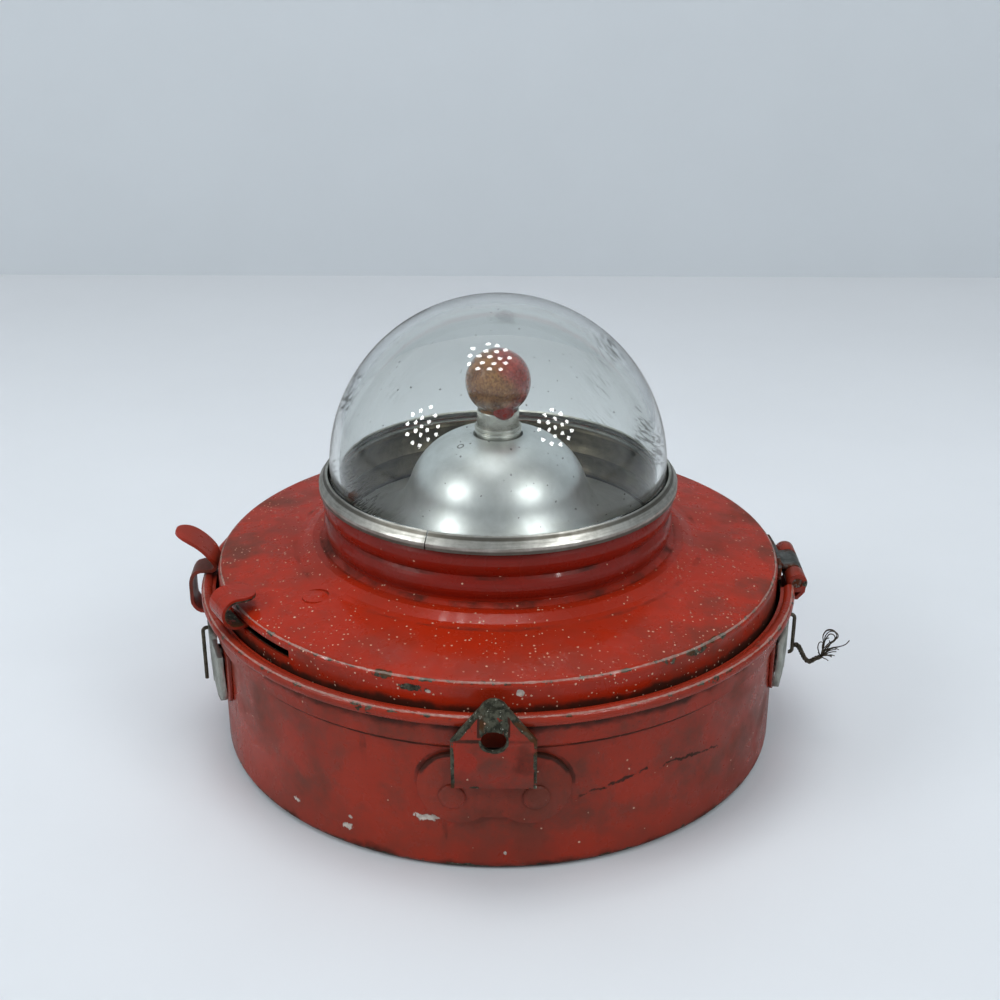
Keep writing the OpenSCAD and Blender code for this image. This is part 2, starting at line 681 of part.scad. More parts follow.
module pin_bore()
    translate([hinge_x, 0, hinge_z])
        rotate([90, 0, 0])
            cylinder(r = pin_r + run_gap, h = hinge_l + 10, center = true);

// Leaf of the can: from the knuckles inwards and down past the socket, then
// narrower to the wall
function leaf_line() = [[hinge_x + knuckle_r - leaf_t / 2 - 0.15, hinge_z],
    [hinge_x + knuckle_r - leaf_t / 2 - 0.4, hinge_z - 2.2], [hinge_x + 0.2, hinge_z - 3.8],
    [leaf_x, hinge_z - 5.6], [leaf_x, socket_z + 0.9], [leg_in + leaf_t / 2, socket_z - 2.5]];

module hinge_leaf_can() color(paint)
    difference() {
        union() {
            knuckle(-hinge_l / 2, hinge_l / 2);
            bent_strip(leaf_line(), leaf_t, hinge_l);
            wall_plate(leg_in, leg_out) round_ended(leaf_w, hinge_leaf_z, socket_z - 2);
        }
        // Window for the lid's knuckle
        translate([lid_r, -lid_knuckle_l / 2 - knuckle_gap, hinge_z - knuckle_r - 0.8])
            cube([20, lid_knuckle_l + 2 * knuckle_gap, 20]);
        // Shoulders, cut back so that the leaf passes the ear
        for (s = [0, 1])
            mirror([0, s, 0])
                translate([can_r - 1, leaf_w / 2, socket_z - 10])
                    cube([12, 20, hinge_z - knuckle_r - 1.9 - socket_z + 10]);
        pin_bore();
    }

module hinge_leaf_lid() color(bare_steel)
    difference() {
        union() {
            knuckle(-lid_knuckle_l / 2, lid_knuckle_l / 2);
            bent_strip([[hinge_x, hinge_z + knuckle_r - leaf_t / 2 - 0.15],
                [lid_r + 0.9 + leaf_t, hinge_z + knuckle_r - leaf_t / 2 - 0.15],
                [lid_r + 0.3 + leaf_t / 2, hinge_z + knuckle_r + 0.3]], leaf_t, lid_knuckle_l);
            wall_plate(lid_r + seat, lid_r + seat + leaf_t)
                translate([-hinge_l / 2, hinge_z + 1]) square([hinge_l, shoulder_z - shoulder_round - hinge_z - 1]);
        }
        pin_bore();
    }

module hinge_pin() color(dark_steel)
    translate([hinge_x, 0, hinge_z])
        rotate([90, 0, 0]) cylinder(r = pin_r, h = hinge_l - 0.4, center = true);

// Lid: skirt, rolled shoulder, shallow cone, pressed ring, and neck with two
// rolled beads and a flared lip. The inside follows one sheet thickness in.
function bead_points(z0, d) =
    [for (i = [1:7]) [neck_r - d + neck_bead * sin(i * 22.5), z0 + bead_h * i / 8]];
function lid_side(d) = concat(
    [[lid_r - d, skirt_z]],
    arc(lid_r - shoulder_round, shoulder_z - shoulder_round, shoulder_round - d, 0, 82, 5),
    [[ring_step_r - d * 0.1, cone_z - d], [ring_step_r - 1.6, cone_z + 0.35 - d],
     [ring_in_r - d * 0.3, ring_top_z - d]],
    [[neck_r + 1.6 - d * 0.8, ring_top_z + 0.1 - d * 0.9], [neck_r + 0.3 - d, neck_z]],
    bead_points(neck_z, d), [[neck_r - d, neck_z + bead_h]],
    bead_points(neck_z + bead_h, d), [[neck_r - d, neck_z + 2 * bead_h],
    [neck_r + lip_flare * 0.3 - d, lip_z - 0.9]]);

module lid_shell() color(paint)
    difference() {
        rotate_extrude()
            polygon(concat(lid_side(0), [[neck_r + lip_flare, lip_z - lip_t], [neck_r + lip_flare, lip_z],
                [neck_r - sheet + 0.5, lip_z]],
                [for (p = [let (q = lid_side(sheet)) for (i = [len(q) - 1:-1:0]) q[i]]) p]));
        // Slot for the switch lever
        at(lever_azimuth + lever_travel / 2)
            let (half = lever_travel / 2 + lever_half_angle + slot_margin)
            translate([0, 0, slot_z - slot_h / 2])
                rotate([0, 0, -half])
                    rotate_extrude(angle = 2 * half)
                        translate([lid_r - 3, 0]) square([6, slot_h]);
        // Seats of the two flush rivets
        for (a = [0, 180])
            at(bridge_azimuth + a)
                translate([rivet_r, 0, bridge_z]) cylinder(r = rivet_head_r + run_gap, h = 6, $fn = 48);
    }

rivet_head_r = 3;
lid_z_at_rivet = shoulder_z + lid_rise * (lid_r - shoulder_round - rivet_r)
    / (lid_r - shoulder_round - ring_step_r);

module lid_rivets() color(paint)
    for (a = [0, 180])
        at(bridge_azimuth + a)
            translate([rivet_r, 0, 0])
                rotate_extrude()
                    polygon([[0, bridge_z - 1], [2.2, bridge_z - 1], [2.6, bridge_z - seat],
                        [1.8, bridge_z - seat], [1.8, lid_z_at_rivet - sheet],
                        [rivet_head_r, lid_z_at_rivet - sheet], [rivet_head_r, lid_z_at_rivet], [0, lid_z_at_rivet + 0.1]]);

module lens_gasket() color([0.15, 0.15, 0.14])
    rotate_extrude()
        translate([flange_r - gasket_w, gasket_z]) square([gasket_w, gasket_t]);

module lens_dome() color([0.8, 0.85, 0.85, 0.35])
    rotate_extrude()
        polygon(concat(
            [[dome_r - glass_t, flange_z], [flange_r, flange_z], [flange_r, flange_z + 0.4],
             [dome_r + 0.35, flange_z + glass_flange_t], [dome_r, flange_z + glass_flange_t + 0.2]],
            arc(0, dome_z, dome_r, 0, 90, 24),
            arc(0, dome_z, dome_r - glass_t, 90, 0, 24)));

// Split ring that clips over the glass flange and the neck's lip
module lens_ring() color(bare_steel)
    difference() {
        rotate_extrude()
            polygon(strip([[neck_r + lip_flare * 0.7, ring_hook_z],
                [ring_side_r, ring_hook_z], [ring_side_r, lip_z + 0.1],
                [ring_in + ring_t / 2, ring_top]], ring_t));
        at(ring_split_azimuth)
            translate([neck_r - 6, -ring_split_w / 2, lip_z - 5]) cube([12, ring_split_w, 12]);
    }

// Bell reflector: convex crown, concave flare, flange and turned-down rim
flare_angle = 70.5;
reflector_rim_r = neck_r - sheet - reflector_gap;
crown_c = [reflector_rim_r + 0.08 - (crown_r + flare_r) * sin(flare_angle), reflector_z - crown_r];
flare_c = crown_c + (crown_r + flare_r) * [sin(flare_angle), cos(flare_angle)];
crown_start = asin(max(0, reflector_hole + 0.5 + reflector_t - crown_c[0]) / (crown_r - reflector_t));

function reflector_side(d) = concat(
    let (z = crown_c[1] + crown_r * cos(crown_start))
    [[reflector_hole + d, z - hole_lip_h], [reflector_hole + d, z - 0.2 - d], [reflector_hole + 0.2 + d, z - d]],
    [for (i = [0:8]) let (a = crown_start + (flare_angle - crown_start) * i / 8)
        crown_c + (crown_r - d) * [sin(a), cos(a)]],
    [for (i = [1:8]) let (a = flare_angle * (1 - i / 8))
        flare_c - (flare_r + d) * [sin(a), cos(a)]],
    [[reflector_rim_r - d, flare_c[1] - flare_r - d], [reflector_rim_r - d, reflector_rim_z]]);

module reflector() color([0.75, 0.76, 0.75])
    rotate_extrude()
        polygon(concat(reflector_side(0),
            [let (q = reflector_side(reflector_t)) for (i = [len(q) - 1:-1:0]) q[i]]));

// Bridge across the lid's underside, which carries the lamp post and the switch
module bridge() color(bare_steel)
    difference() {
        at(bridge_azimuth)
            translate([0, 0, bridge_z])
                intersection() {
                    translate([-bridge_r, -bridge_w / 2, 0]) cube([2 * bridge_r, bridge_w, bridge_t]);
                    cylinder(r = bridge_r, h = bridge_t);
                }
        translate([0, 0, bridge_z - 1]) cylinder(r = spigot_r + run_gap, h = 4);
        for (a = [0, 180])
            at(bridge_azimuth + a) {
                translate([rivet_r, 0, bridge_z - 1]) cylinder(r = 1.85, h = 4, $fn = 32);
                translate([post_rivet_x, 0, bridge_z - 1]) cylinder(r = 1.25, h = 4, $fn = 32);
            }
        at(stud_azimuth) translate([stud_r, 0, bridge_z - 1]) cylinder(r = 1.25, h = 4, $fn = 32);
    }

post_rivet_x = 8.6;
stud_r = 30;
stud_azimuth = lever_azimuth + lever_travel;

module post_rivets() color(brass)
    for (a = [0, 180])
        at(bridge_azimuth + a)
            translate([post_rivet_x, 0, 0])
                rotate_extrude()
                    polygon([[0, bridge_z - 0.6], [1.8, bridge_z - 0.6], [1.8, bridge_z - seat], [1.2, bridge_z - seat],
                        [1.2, post_z + post_flange_h + seat], [1.9, post_z + post_flange_h + seat],
                        [1.5, post_z + post_flange_h + 0.8], [0, post_z + post_flange_h + 1]]);

module socket_post() color(phenolic)
    difference() {
        rotate_extrude()
            polygon([[contact_r + run_gap, spigot_z], [spigot_r, spigot_z], [spigot_r, post_z],
                [post_flange_r, post_z], [post_flange_r, post_z + post_flange_h - 0.6],
                [post_flange_r - 0.6, post_z + post_flange_h], [post_r + 0.6, post_z + post_flange_h],
                [post_r, post_z + post_flange_h + 0.6], [post_r, socket_z0 - seat],
                [contact_r + run_gap, socket_z0 - seat]]);
        for (a = [0, 180])
            at(bridge_azimuth + a)
                translate([post_rivet_x, 0, post_z - 1]) cylinder(r = 1.25, h = 5, $fn = 32);
    }

// Threaded shell that the lamp screws into, with a rolled top edge
module lamp_socket() color(nickel)
    rotate_extrude()
        polygon(concat([[contact_r + contact_gap, socket_z0], [socket_r_in + socket_t, socket_z0]],
            [for (k = [2, 1], a = [-80:20:80])
                [socket_r_in + socket_t + 0.2 * cos(a), socket_top_z - socket_roll_h * (k - 0.5 - 0.5 * sin(a))]],
            [[socket_r_in, socket_top_z - 0.1], [socket_r_in, socket_z0 + socket_t],
             [contact_r + contact_gap, socket_z0 + socket_t]]));

module centre_contact() color(brass)
    rotate_extrude()
        polygon([[0, contact_head_z], [contact_head_r, contact_head_z], [contact_head_r, spigot_z - seat],
            [contact_r, spigot_z - seat], [contact_r, cap_z - tip_h - 1.2],
            [contact_r * 0.6, cap_z - tip_h - body_gap], [0, cap_z - tip_h - body_gap]]);

// Bent leaf under the centre contact that meets the cells' tongue
module contact_leaf() color(brass)
    bent_strip([[3.2, contact_head_z - 0.3], [-3.2, contact_head_z - 0.3], [-4.2, contact_head_z - 0.9],
        [-4, contact_head_z - 1.6], [-1.5, leaf_z + 0.5], [0, leaf_z + 0.2], [1.5, leaf_z + 0.4],
        [3, leaf_z + 1.1]], 0.35, 5);

// Switch arm: eye on the post, flat arm through the slot, curled finger end
module switch_lever() color(paint)
    difference() {
        union() {
            translate([0, 0, lever_z]) cylinder(r = eye_r, h = lever_t);
            at(lever_azimuth)
                difference() {
                    bent_strip(concat([[0, slot_z]],
                        arc(lever_bend_x, slot_z + lever_bend_r, lever_bend_r, -90, 90, 14),
                        [[lever_tip_x, slot_z + 2 * lever_bend_r - 0.4]]), lever_t, lever_w);
                    // Round tip of the upper turn
                    translate([lever_tip_x - 5, 0, slot_z + lever_bend_r])
                        difference() {
                            translate([0, -lever_w, 0]) cube([5 + lever_w / 2, 2 * lever_w, 20]);
                            translate([5 + lever_w / 2, 0, -1]) cylinder(d = lever_w, h = 22);
                        }
                }
        }
        translate([0, 0, lever_z - 1]) cylinder(r = spigot_r + run_gap, h = 3);
    }

module switch_washer() color(brass)
    translate([0, 0, washer_z])
        difference() {
            cylinder(r = eye_r - 0.6, h = washer_t);
            translate([0, 0, -1]) cylinder(r = spigot_r + run_gap, h = 3);
        }

// Contact stud that the arm reaches at the end of its travel
module switch_stud() color(brass)
    at(stud_azimuth)
        translate([stud_r, 0, 0])
            rotate_extrude()
                polygon([[0, lever_z + lever_t + body_gap], [1.4, lever_z + lever_t + body_gap],
                    [2.2, lever_z + lever_t + body_gap + 0.5], [2.2, bridge_z - seat], [1.2, bridge_z - seat],
                    [1.2, bridge_z + bridge_t + seat], [2, bridge_z + bridge_t + seat],
                    [1.6, bridge_z + bridge_t + 0.7], [0, bridge_z + bridge_t + 0.8]]);

// Lamp
neck_in_cap = cap_r - cap_t - 0.15;
glass_wall = 0.5;

module bulb_glass() color([0.75, 0.25, 0.15, 0.6])
    let (a = asin(neck_in_cap / globe_r), b = asin((neck_in_cap - glass_wall) / (globe_r - glass_wall)))
    rotate_extrude()
        polygon(concat(
            [[neck_in_cap - glass_wall, cap_top_z - 2], [neck_in_cap, cap_top_z - 2],
             [neck_in_cap, globe_z - globe_r * cos(a)]],
            arc(0, globe_z, globe_r, a - 90 + 4, 90, 16),
            arc(0, globe_z, globe_r - glass_wall, 90, b - 90 + 4, 16)));

module bulb_cap() color(nickel)
    rotate_extrude()
        polygon([[cap_r - cap_t - 1, cap_z], [cap_r - 0.3, cap_z], [cap_r, cap_z + 0.4],
            [cap_r, cap_top_z - 0.2], [cap_r - 0.1, cap_top_z], [cap_r - cap_t, cap_top_z],
            [cap_r - cap_t, cap_z + 0.8], [cap_r - cap_t - 1, cap_z + 0.8]]);

module bulb_tip() color(nickel)
    rotate_extrude()
        polygon([[0, cap_z - tip_h], [1.2, cap_z - tip_h], [2, cap_z - tip_h + 0.6],
            [cap_r - cap_t - 1.1, cap_z + 0.1], [cap_r - cap_t - 1.1, cap_z + 1.1], [0, cap_z + 1.1]]);

// Glass stem with two lead wires
module bulb_stem() color([0.7, 0.7, 0.65]) {
    translate([0, 0, cap_z + 1.1 + seat]) cylinder(r = 1.6, h = cap_top_z - cap_z);
    for (s = [-1, 1])
        translate([s * 0.9, 0, cap_top_z]) cylinder(r = 0.25, h = globe_z - cap_top_z + 1, $fn = 16);
}

can_shell();
cell_liner();
cell_1();
cell_2();
cell_3();
cell_4();
cell_links();
terminal_strip();
ground_spring();
hasp_base();
hasp_plate();
hasp_rivets();
catch_leg();
ear_leg();
snap_catch();
ear_left();
ear_right();
ear_rivets();
bail_hook_left();
bail_hook_right();
wire_stub();
hinge_leaf_can();
hinge_leaf_lid();
hinge_pin();
lid_shell();
lid_rivets();
lens_gasket();
lens_dome();
lens_ring();
reflector();
bridge();
post_rivets();
socket_post();
lamp_socket();
centre_contact();
contact_leaf();
switch_lever();
switch_washer();
switch_stud();
bulb_glass();
bulb_cap();
bulb_tip();
bulb_stem();
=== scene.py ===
# Battery warning lantern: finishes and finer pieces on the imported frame.
import json
import random
from math import cos, pi, radians, sin

import bmesh
import bpy
from mathutils import Matrix, Vector


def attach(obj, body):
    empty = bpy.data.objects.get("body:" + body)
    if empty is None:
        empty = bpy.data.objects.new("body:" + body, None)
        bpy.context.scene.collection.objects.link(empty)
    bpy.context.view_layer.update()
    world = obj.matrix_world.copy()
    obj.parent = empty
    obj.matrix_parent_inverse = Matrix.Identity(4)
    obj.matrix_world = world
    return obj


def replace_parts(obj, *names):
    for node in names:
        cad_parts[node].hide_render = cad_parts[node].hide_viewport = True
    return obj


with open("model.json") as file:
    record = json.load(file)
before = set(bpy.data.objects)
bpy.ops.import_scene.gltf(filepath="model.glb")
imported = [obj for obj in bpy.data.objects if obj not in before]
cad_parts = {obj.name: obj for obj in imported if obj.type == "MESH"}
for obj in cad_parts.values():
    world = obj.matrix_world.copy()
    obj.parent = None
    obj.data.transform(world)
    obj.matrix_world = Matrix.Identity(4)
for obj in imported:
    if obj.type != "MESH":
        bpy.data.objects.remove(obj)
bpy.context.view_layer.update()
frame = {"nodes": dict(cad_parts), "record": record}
nodes = frame["nodes"]
MM = 0.001


# ---------------------------------------------------------------- node wiring
class Wires:
    """Lays out one node tree. Inputs are numbers, colours or other sockets."""

    def __init__(self, tree):
        self.tree = tree
        tree.nodes.clear()

    def node(self, kind, given=None, **settings):
        made = self.tree.nodes.new(kind)
        for key, value in settings.items():
            setattr(made, key, value)
        for key, value in (given or {}).items():
            self.feed(made.inputs[key], value)
        return made

    def feed(self, socket, value):
        if isinstance(value, bpy.types.NodeSocket):
            self.tree.links.new(value, socket)
        elif isinstance(value, tuple) and len(value) == 3 and socket.type == "RGBA":
            socket.default_value = value + (1.0,)
        else:
            socket.default_value = value

    def math(self, op, *values, clamp=False):
        made = self.node("ShaderNodeMath", operation=op, use_clamp=clamp)
        for socket, value in zip(made.inputs, values):
            self.feed(socket, value)
        return made.outputs[0]

    def folded(self, op, first, others):
        for other in others:
            first = self.math(op, first, other)
        return first

    def times(self, first, *others):
        return self.folded("MULTIPLY", first, others)

    def most(self, first, *others):
        return self.folded("MAXIMUM", first, others)

    def plus(self, first, second, clamp=False):
        return self.math("ADD", first, second, clamp=clamp)

    def minus(self, first, second, clamp=False):
        return self.math("SUBTRACT", first, second, clamp=clamp)

    def distance(self, value):
        return self.math("ABSOLUTE", value)

    def step(self, value, low, high, to_low=0.0, to_high=1.0):
        given = {"Value": value, "From Min": low, "From Max": high,
                 "To Min": to_low, "To Max": to_high}
        return self.node("ShaderNodeMapRange", given,
                         interpolation_type="SMOOTHSTEP").outputs[0]

    def mix(self, amount, first, second):
        made = self.node("ShaderNodeMix", data_type="RGBA")
        self.feed(made.inputs[0], amount)
        self.feed(made.inputs[6], first)
        self.feed(made.inputs[7], second)
        return made.outputs[2]

    def place(self, scale=(1, 1, 1), turn=(0, 0, 0), move=(0, 0, 0)):
        here = self.node("ShaderNodeTexCoord").outputs["Object"]
        if (scale, turn, move) == ((1, 1, 1), (0, 0, 0), (0, 0, 0)):
            return here
        return self.node("ShaderNodeMapping", {"Vector": here, "Scale": scale,
                                               "Rotation": turn, "Location": move}).outputs[0]

    def noise(self, scale, detail=3.0, rough=0.55, where=None, bend=0.0):
        return self.node("ShaderNodeTexNoise", {
            "Vector": where or self.place(), "Scale": scale, "Detail": detail,
            "Roughness": rough, "Distortion": bend}).outputs[0]

    def cloud(self, scale, detail, rough, *limits):
        """Noise cut to a soft mask; the limits are those of step."""
        return self.step(self.noise(scale, detail, rough), *limits)

    def cells(self, scale):
        return self.node("ShaderNodeTexVoronoi", {"Vector": self.place(), "Scale": scale},
                         feature="F1")

    def axes(self, where=None):
        split = self.node("ShaderNodeSeparateXYZ", {"Vector": where or self.place()})
        return split.outputs[0], split.outputs[1], split.outputs[2]

    def radius(self, x, y):
        return self.math("SQRT", self.plus(self.times(x, x), self.times(y, y)))

    def polar(self):
        """Distance from the lantern's axis, and height."""
        x, y, z = self.axes()
        return self.radius(x, y), z

    def height(self):
        return self.axes()[2]


def group(name, inputs, outputs):
    """An empty shader group with named sockets: its wiring, its inputs and its results."""
    tree = bpy.data.node_groups.new(name, "ShaderNodeTree")
    for label, kind, value in inputs:
        socket = tree.interface.new_socket(label, in_out="INPUT", socket_type=kind)
        socket.default_value = value
    for label, kind in outputs:
        tree.interface.new_socket(label, in_out="OUTPUT", socket_type=kind)
    wires = Wires(tree)
    return wires, wires.node("NodeGroupInput").outputs, wires.node("NodeGroupOutput").inputs


def use(w, name, **given):
    """Places a shader group; underscores in a keyword stand for spaces."""
    made = w.node("ShaderNodeGroup", node_tree=bpy.data.node_groups[name])
    for key, value in given.items():
        w.feed(made.inputs[key.replace("_", " ")], value)
    return made.outputs


def speckle(w, spacing, size, share):
    return use(w, "specks", Spacing=spacing, Size=size, Share=share)["Mask"]


def scratched(w, turn, share, fine=2400.0, long=45.0):
    return use(w, "scratches", Turn=turn, Fine=fine, Long=long, Share=share)["Mask"]


def ragged_edge(w, given):
    """Noise about 0, which a mask adds to a distance so that its edge is ragged."""
    return w.times(w.minus(w.noise(given["Grain"], 4.0, 0.7), 0.5), w.times(given["Ragged"], 4.0))


FLOAT, COLOUR, VECTOR = "NodeSocketFloat", "NodeSocketColor", "NodeSocketVector"


def make_ring_band():
    """Mask of a band round the lantern, at a radius and height, with a ragged edge."""
    w, given, result = group("ring_band", [
        ("Radius", FLOAT, 0.07), ("Height", FLOAT, 0.04), ("Width", FLOAT, 0.001),
        ("Ragged", FLOAT, 0.6), ("Grain", FLOAT, 260.0)], [("Mask", FLOAT)])
    r, z = w.polar()
    across, up = w.minus(r, given["Radius"]), w.minus(z, given["Height"])
    off = w.math("DIVIDE", w.radius(across, up), given["Width"])
    w.feed(result["Mask"], w.step(w.plus(off, ragged_edge(w, given)), 1.15, 0.75))


def make_specks():
    """Small uneven specks of mixed sizes, thicker in some areas than in others."""
    w, given, result = group("specks", [
        ("Spacing", FLOAT, 300.0), ("Size", FLOAT, 0.16), ("Share", FLOAT, 0.3)],
        [("Mask", FLOAT)])
    dots = w.cells(given["Spacing"])
    chance = w.node("ShaderNodeSeparateColor", {"Color": dots.outputs["Color"]})
    clumps = w.cloud(38.0, 2.0, 0.55, 0.40, 0.62, 0.25, 1.0)
    kept = w.math("LESS_THAN", chance.outputs[0], w.times(given["Share"], clumps))
    size = w.times(given["Size"], w.plus(0.35, chance.outputs[1]))
    uneven = w.times(w.minus(w.noise(3600.0, 2.0), 0.5), 0.26)
    inside = w.step(w.minus(w.plus(size, uneven), dots.outputs["Distance"]), -0.01, 0.03)
    w.feed(result["Mask"], w.times(kept, inside))


def make_patch():
    """Mask of one ragged patch round a place, with half sizes along x, y and z."""
    w, given, result = group("patch", [
        ("At", VECTOR, (0, 0, 0)), ("Size", VECTOR, (0.001, 0.001, 0.001)),
        ("Ragged", FLOAT, 0.5), ("Grain", FLOAT, 900.0)], [("Mask", FLOAT)])
    off = w.node("ShaderNodeVectorMath", {0: w.place(), 1: given["At"]}, operation="SUBTRACT")
    far = w.node("ShaderNodeVectorMath", {0: off.outputs[0], 1: given["Size"]}, operation="DIVIDE")
    reach = w.node("ShaderNodeVectorMath", {0: far.outputs[0]}, operation="LENGTH")
    w.feed(result["Mask"], w.step(w.plus(reach.outputs["Value"], ragged_edge(w, given)), 1.1, 0.9))


def make_scratches():
    """Fine straight scratches in one direction; turn it by the Turn angle."""
    w, given, result = group("scratches", [
        ("Turn", FLOAT, 0.5), ("Fine", FLOAT, 2400.0), ("Long", FLOAT, 45.0),
        ("Share", FLOAT, 0.25)], [("Mask", FLOAT)])
    x, y, z = w.axes()
    c, s = w.math("COSINE", given["Turn"]), w.math("SINE", given["Turn"])
    along = w.plus(w.times(x, c), w.times(z, s))
    across = w.minus(w.times(z, c), w.times(x, s))
    at = w.node("ShaderNodeCombineXYZ", {
        "X": w.times(along, given["Long"]),
        "Y": w.times(across, given["Fine"]),
        "Z": w.times(y, given["Long"])}).outputs[0]
    lines = w.noise(1.0, 1.5, 0.4, at)
    patches = w.cloud(55.0, 2.0, 0.55, 0.5, 0.62)
    cut = w.minus(0.86, w.times(given["Share"], 0.3))
    w.feed(result["Mask"], w.times(w.step(lines, cut, w.plus(cut, 0.05)), patches))


def make_enamel():
    """Old enamel over steel: tone, film, grime and painted shade, chips with painted glints, primer
    spots and painted highlight lines, and specks.
    """
    w, given, result = group("old_enamel", [
        ("Paint", COLOUR, (0.33, 0.02, 0.006, 1)), ("Wear", FLOAT, 0.0), ("GrimeAndShade", FLOAT, 0.0),
        ("Chips", FLOAT, 0.5), ("Specks", FLOAT, 0.3), ("Film", FLOAT, 0.3),
        ("PrimerAndHighlight", FLOAT, 0.0)],
        [("Color", COLOUR), ("Roughness", FLOAT), ("Metal", FLOAT), ("Height", FLOAT)])
    tone = w.noise(26.0, 4.0, 0.6)
    paint = w.mix(w.step(tone, 0.3, 0.75), given["Paint"],
                  w.mix(0.25, given["Paint"], (0.10, 0.008, 0.004)))
    faded = w.cloud(90.0, 5.0, 0.7, 0.55, 0.85, 0.0, 0.25)
    paint = w.mix(faded, paint, (0.38, 0.045, 0.014))
    # A dull brown film in soft patches with fine grain
    haze = w.times(w.cloud(52.0, 6.0, 0.72, 0.38, 0.66), given["Film"])
    paint = w.mix(haze, paint, (0.115, 0.034, 0.021))
    grit = w.cloud(1500.0, 3.0, 0.7, 0.60, 0.72)
    paint = w.mix(w.times(grit, given["Film"], 0.65), paint, (0.045, 0.016, 0.010))
    # Grime and painted shade sit where the mask says, with a few faint patches elsewhere
    dirt_and_shade = w.step(w.plus(w.times(given["GrimeAndShade"], 0.5), w.noise(130.0, 6.0, 0.65)), 0.66, 1.02)
    paint = w.mix(w.times(dirt_and_shade, 0.88), paint, (0.022, 0.012, 0.007))
    # Chips: the wear mask lowers the threshold that the noise must pass
    field = w.plus(w.noise(420.0, 6.0, 0.62),
                   w.plus(w.times(given["Wear"], 0.25), w.times(given["Chips"], 0.05)))
    chipped = w.step(field, 0.765, 0.785)
    halo = w.step(field, 0.735, 0.77)
    # Bare steel is dark, with pale flecks of painted glint and rusty clouds
    steel = w.mix(w.cloud(620.0, 4.0, 0.7, 0.38, 0.60), (0.026, 0.027, 0.019),
                  (0.092, 0.094, 0.068))
    steel = w.mix(w.cloud(1300.0, 3.0, 0.7, 0.62, 0.70), steel, (0.42, 0.43, 0.36))
    steel = w.mix(w.cloud(180.0, 4.0, 0.6, 0.5, 0.64), steel, (0.085, 0.036, 0.014))
    colour = w.mix(w.times(halo, 0.5), paint, (0.10, 0.024, 0.011))
    colour = w.mix(chipped, colour, steel)
    # Pale primer; the same colour paints the highlight lines given with it
    primer_and_highlight = w.mix(w.cloud(800.0, 4.0, 0.7, 0.35, 0.65),
                   (0.58, 0.52, 0.46), (0.36, 0.30, 0.26))
    colour = w.mix(given["PrimerAndHighlight"], colour, primer_and_highlight)
    # Fine and coarse pale specks, some fainter than others
    fine = speckle(w, 1100.0, 0.21, w.times(given["Specks"], 0.36))
    coarse = speckle(w, 560.0, 0.13, w.times(given["Specks"], 0.20))
    spots = w.times(w.most(fine, coarse),
                    w.cloud(900.0, 2.0, 0.55, 0.3, 0.5, 0.45, 0.95))
    colour = w.mix(spots, colour, (0.66, 0.42, 0.30))
    rough = w.cloud(140.0, 4.0, 0.6, 0.3, 0.8, 0.20, 0.38)
    rough = w.plus(rough, w.times(w.most(chipped, dirt_and_shade), 0.28), clamp=True)
    rough = w.plus(rough, w.times(haze, 0.18), clamp=True)
    w.feed(result["Color"], colour)
    w.feed(result["Roughness"], rough)
    w.feed(result["Metal"], w.times(chipped, 0.45))
    peel = w.times(w.noise(1100.0, 2.0), 0.026)
    dents = w.times(w.noise(34.0, 2.0), 0.45)
    lost = w.times(w.most(chipped, given["PrimerAndHighlight"]), 0.08)
    w.feed(result["Height"], w.plus(w.plus(peel, dents), w.minus(w.times(spots, 0.10), lost)))


def make_dull_metal():
    """Bare metal that has dulled: two tones and spots of oxide."""
    w, given, result = group("dull_metal", [
        ("Light", COLOUR, (0.5, 0.5, 0.48, 1)), ("Dark", COLOUR, (0.2, 0.2, 0.18, 1)),
        ("Oxide", COLOUR, (0.10, 0.05, 0.02, 1)), ("Spots", FLOAT, 0.3),
        ("Grain", FLOAT, 300.0)],
        [("Color", COLOUR), ("Roughness", FLOAT), ("Height", FLOAT), ("Oxidised", FLOAT)])
    tone = w.noise(given["Grain"], 5.0, 0.65)
    colour = w.mix(w.step(tone, 0.3, 0.7), given["Light"], given["Dark"])
    cloud = w.noise(w.times(given["Grain"], 0.45), 6.0, 0.7, bend=0.6)
    cut = w.minus(0.78, w.times(given["Spots"], 0.35))
    oxidised = w.step(cloud, cut, w.plus(cut, 0.09))
    rough = w.plus(w.step(tone, 0.2, 0.8, 0.30, 0.46), w.times(oxidised, 0.3), clamp=True)
    w.feed(result["Color"], w.mix(oxidised, colour, given["Oxide"]))
    w.feed(result["Roughness"], rough)
    w.feed(result["Height"], w.plus(w.times(tone, 0.05), w.times(oxidised, 0.04)))
    w.feed(result["Oxidised"], oxidised)


make_ring_band()
make_specks()
make_patch()
make_scratches()
make_enamel()
make_dull_metal()


def finish(name, **constants):
    """A new material with its Principled shader; constants sit on its own sockets."""
    made = bpy.data.materials.new(name)
    made.use_nodes = True
    w = Wires(made.node_tree)
    shader = w.node("ShaderNodeBsdfPrincipled")
    for key, value in constants.items():
        w.feed(shader.inputs[key.replace("_", " ")], value)
    w.end = w.node("ShaderNodeOutputMaterial", {"Surface": shader.outputs[0]})
    return made, w, shader


def clear_where(w, shader, mask, colour=(1, 1, 1)):
    """Lets light through the material, tinted by colour, where the mask is 1."""
    clear = w.node("ShaderNodeBsdfTransparent", {"Color": colour})
    both = w.node("ShaderNodeMixShader", {0: mask, 1: shader.outputs[0], 2: clear.outputs[0]})
    w.feed(w.end.inputs["Surface"], both.outputs[0])


def dress(w, shader, colour, rough, height=None, depth=None):
    """Feeds colour, roughness and a height field to a shader; depth is in metres."""
    w.feed(shader.inputs["Base Color"], colour)
    w.feed(shader.inputs["Roughness"], rough)
    if height is not None:
        bump = w.node("ShaderNodeBump", {"Height": height, "Distance": depth, "Strength": 1.0})
        w.feed(shader.inputs["Normal"], bump.outputs[0])


def near(w, value, at, width):
    """1 where value lies within width of at, fading out."""
    return w.step(w.distance(w.minus(value, at)), width, width * 0.4)


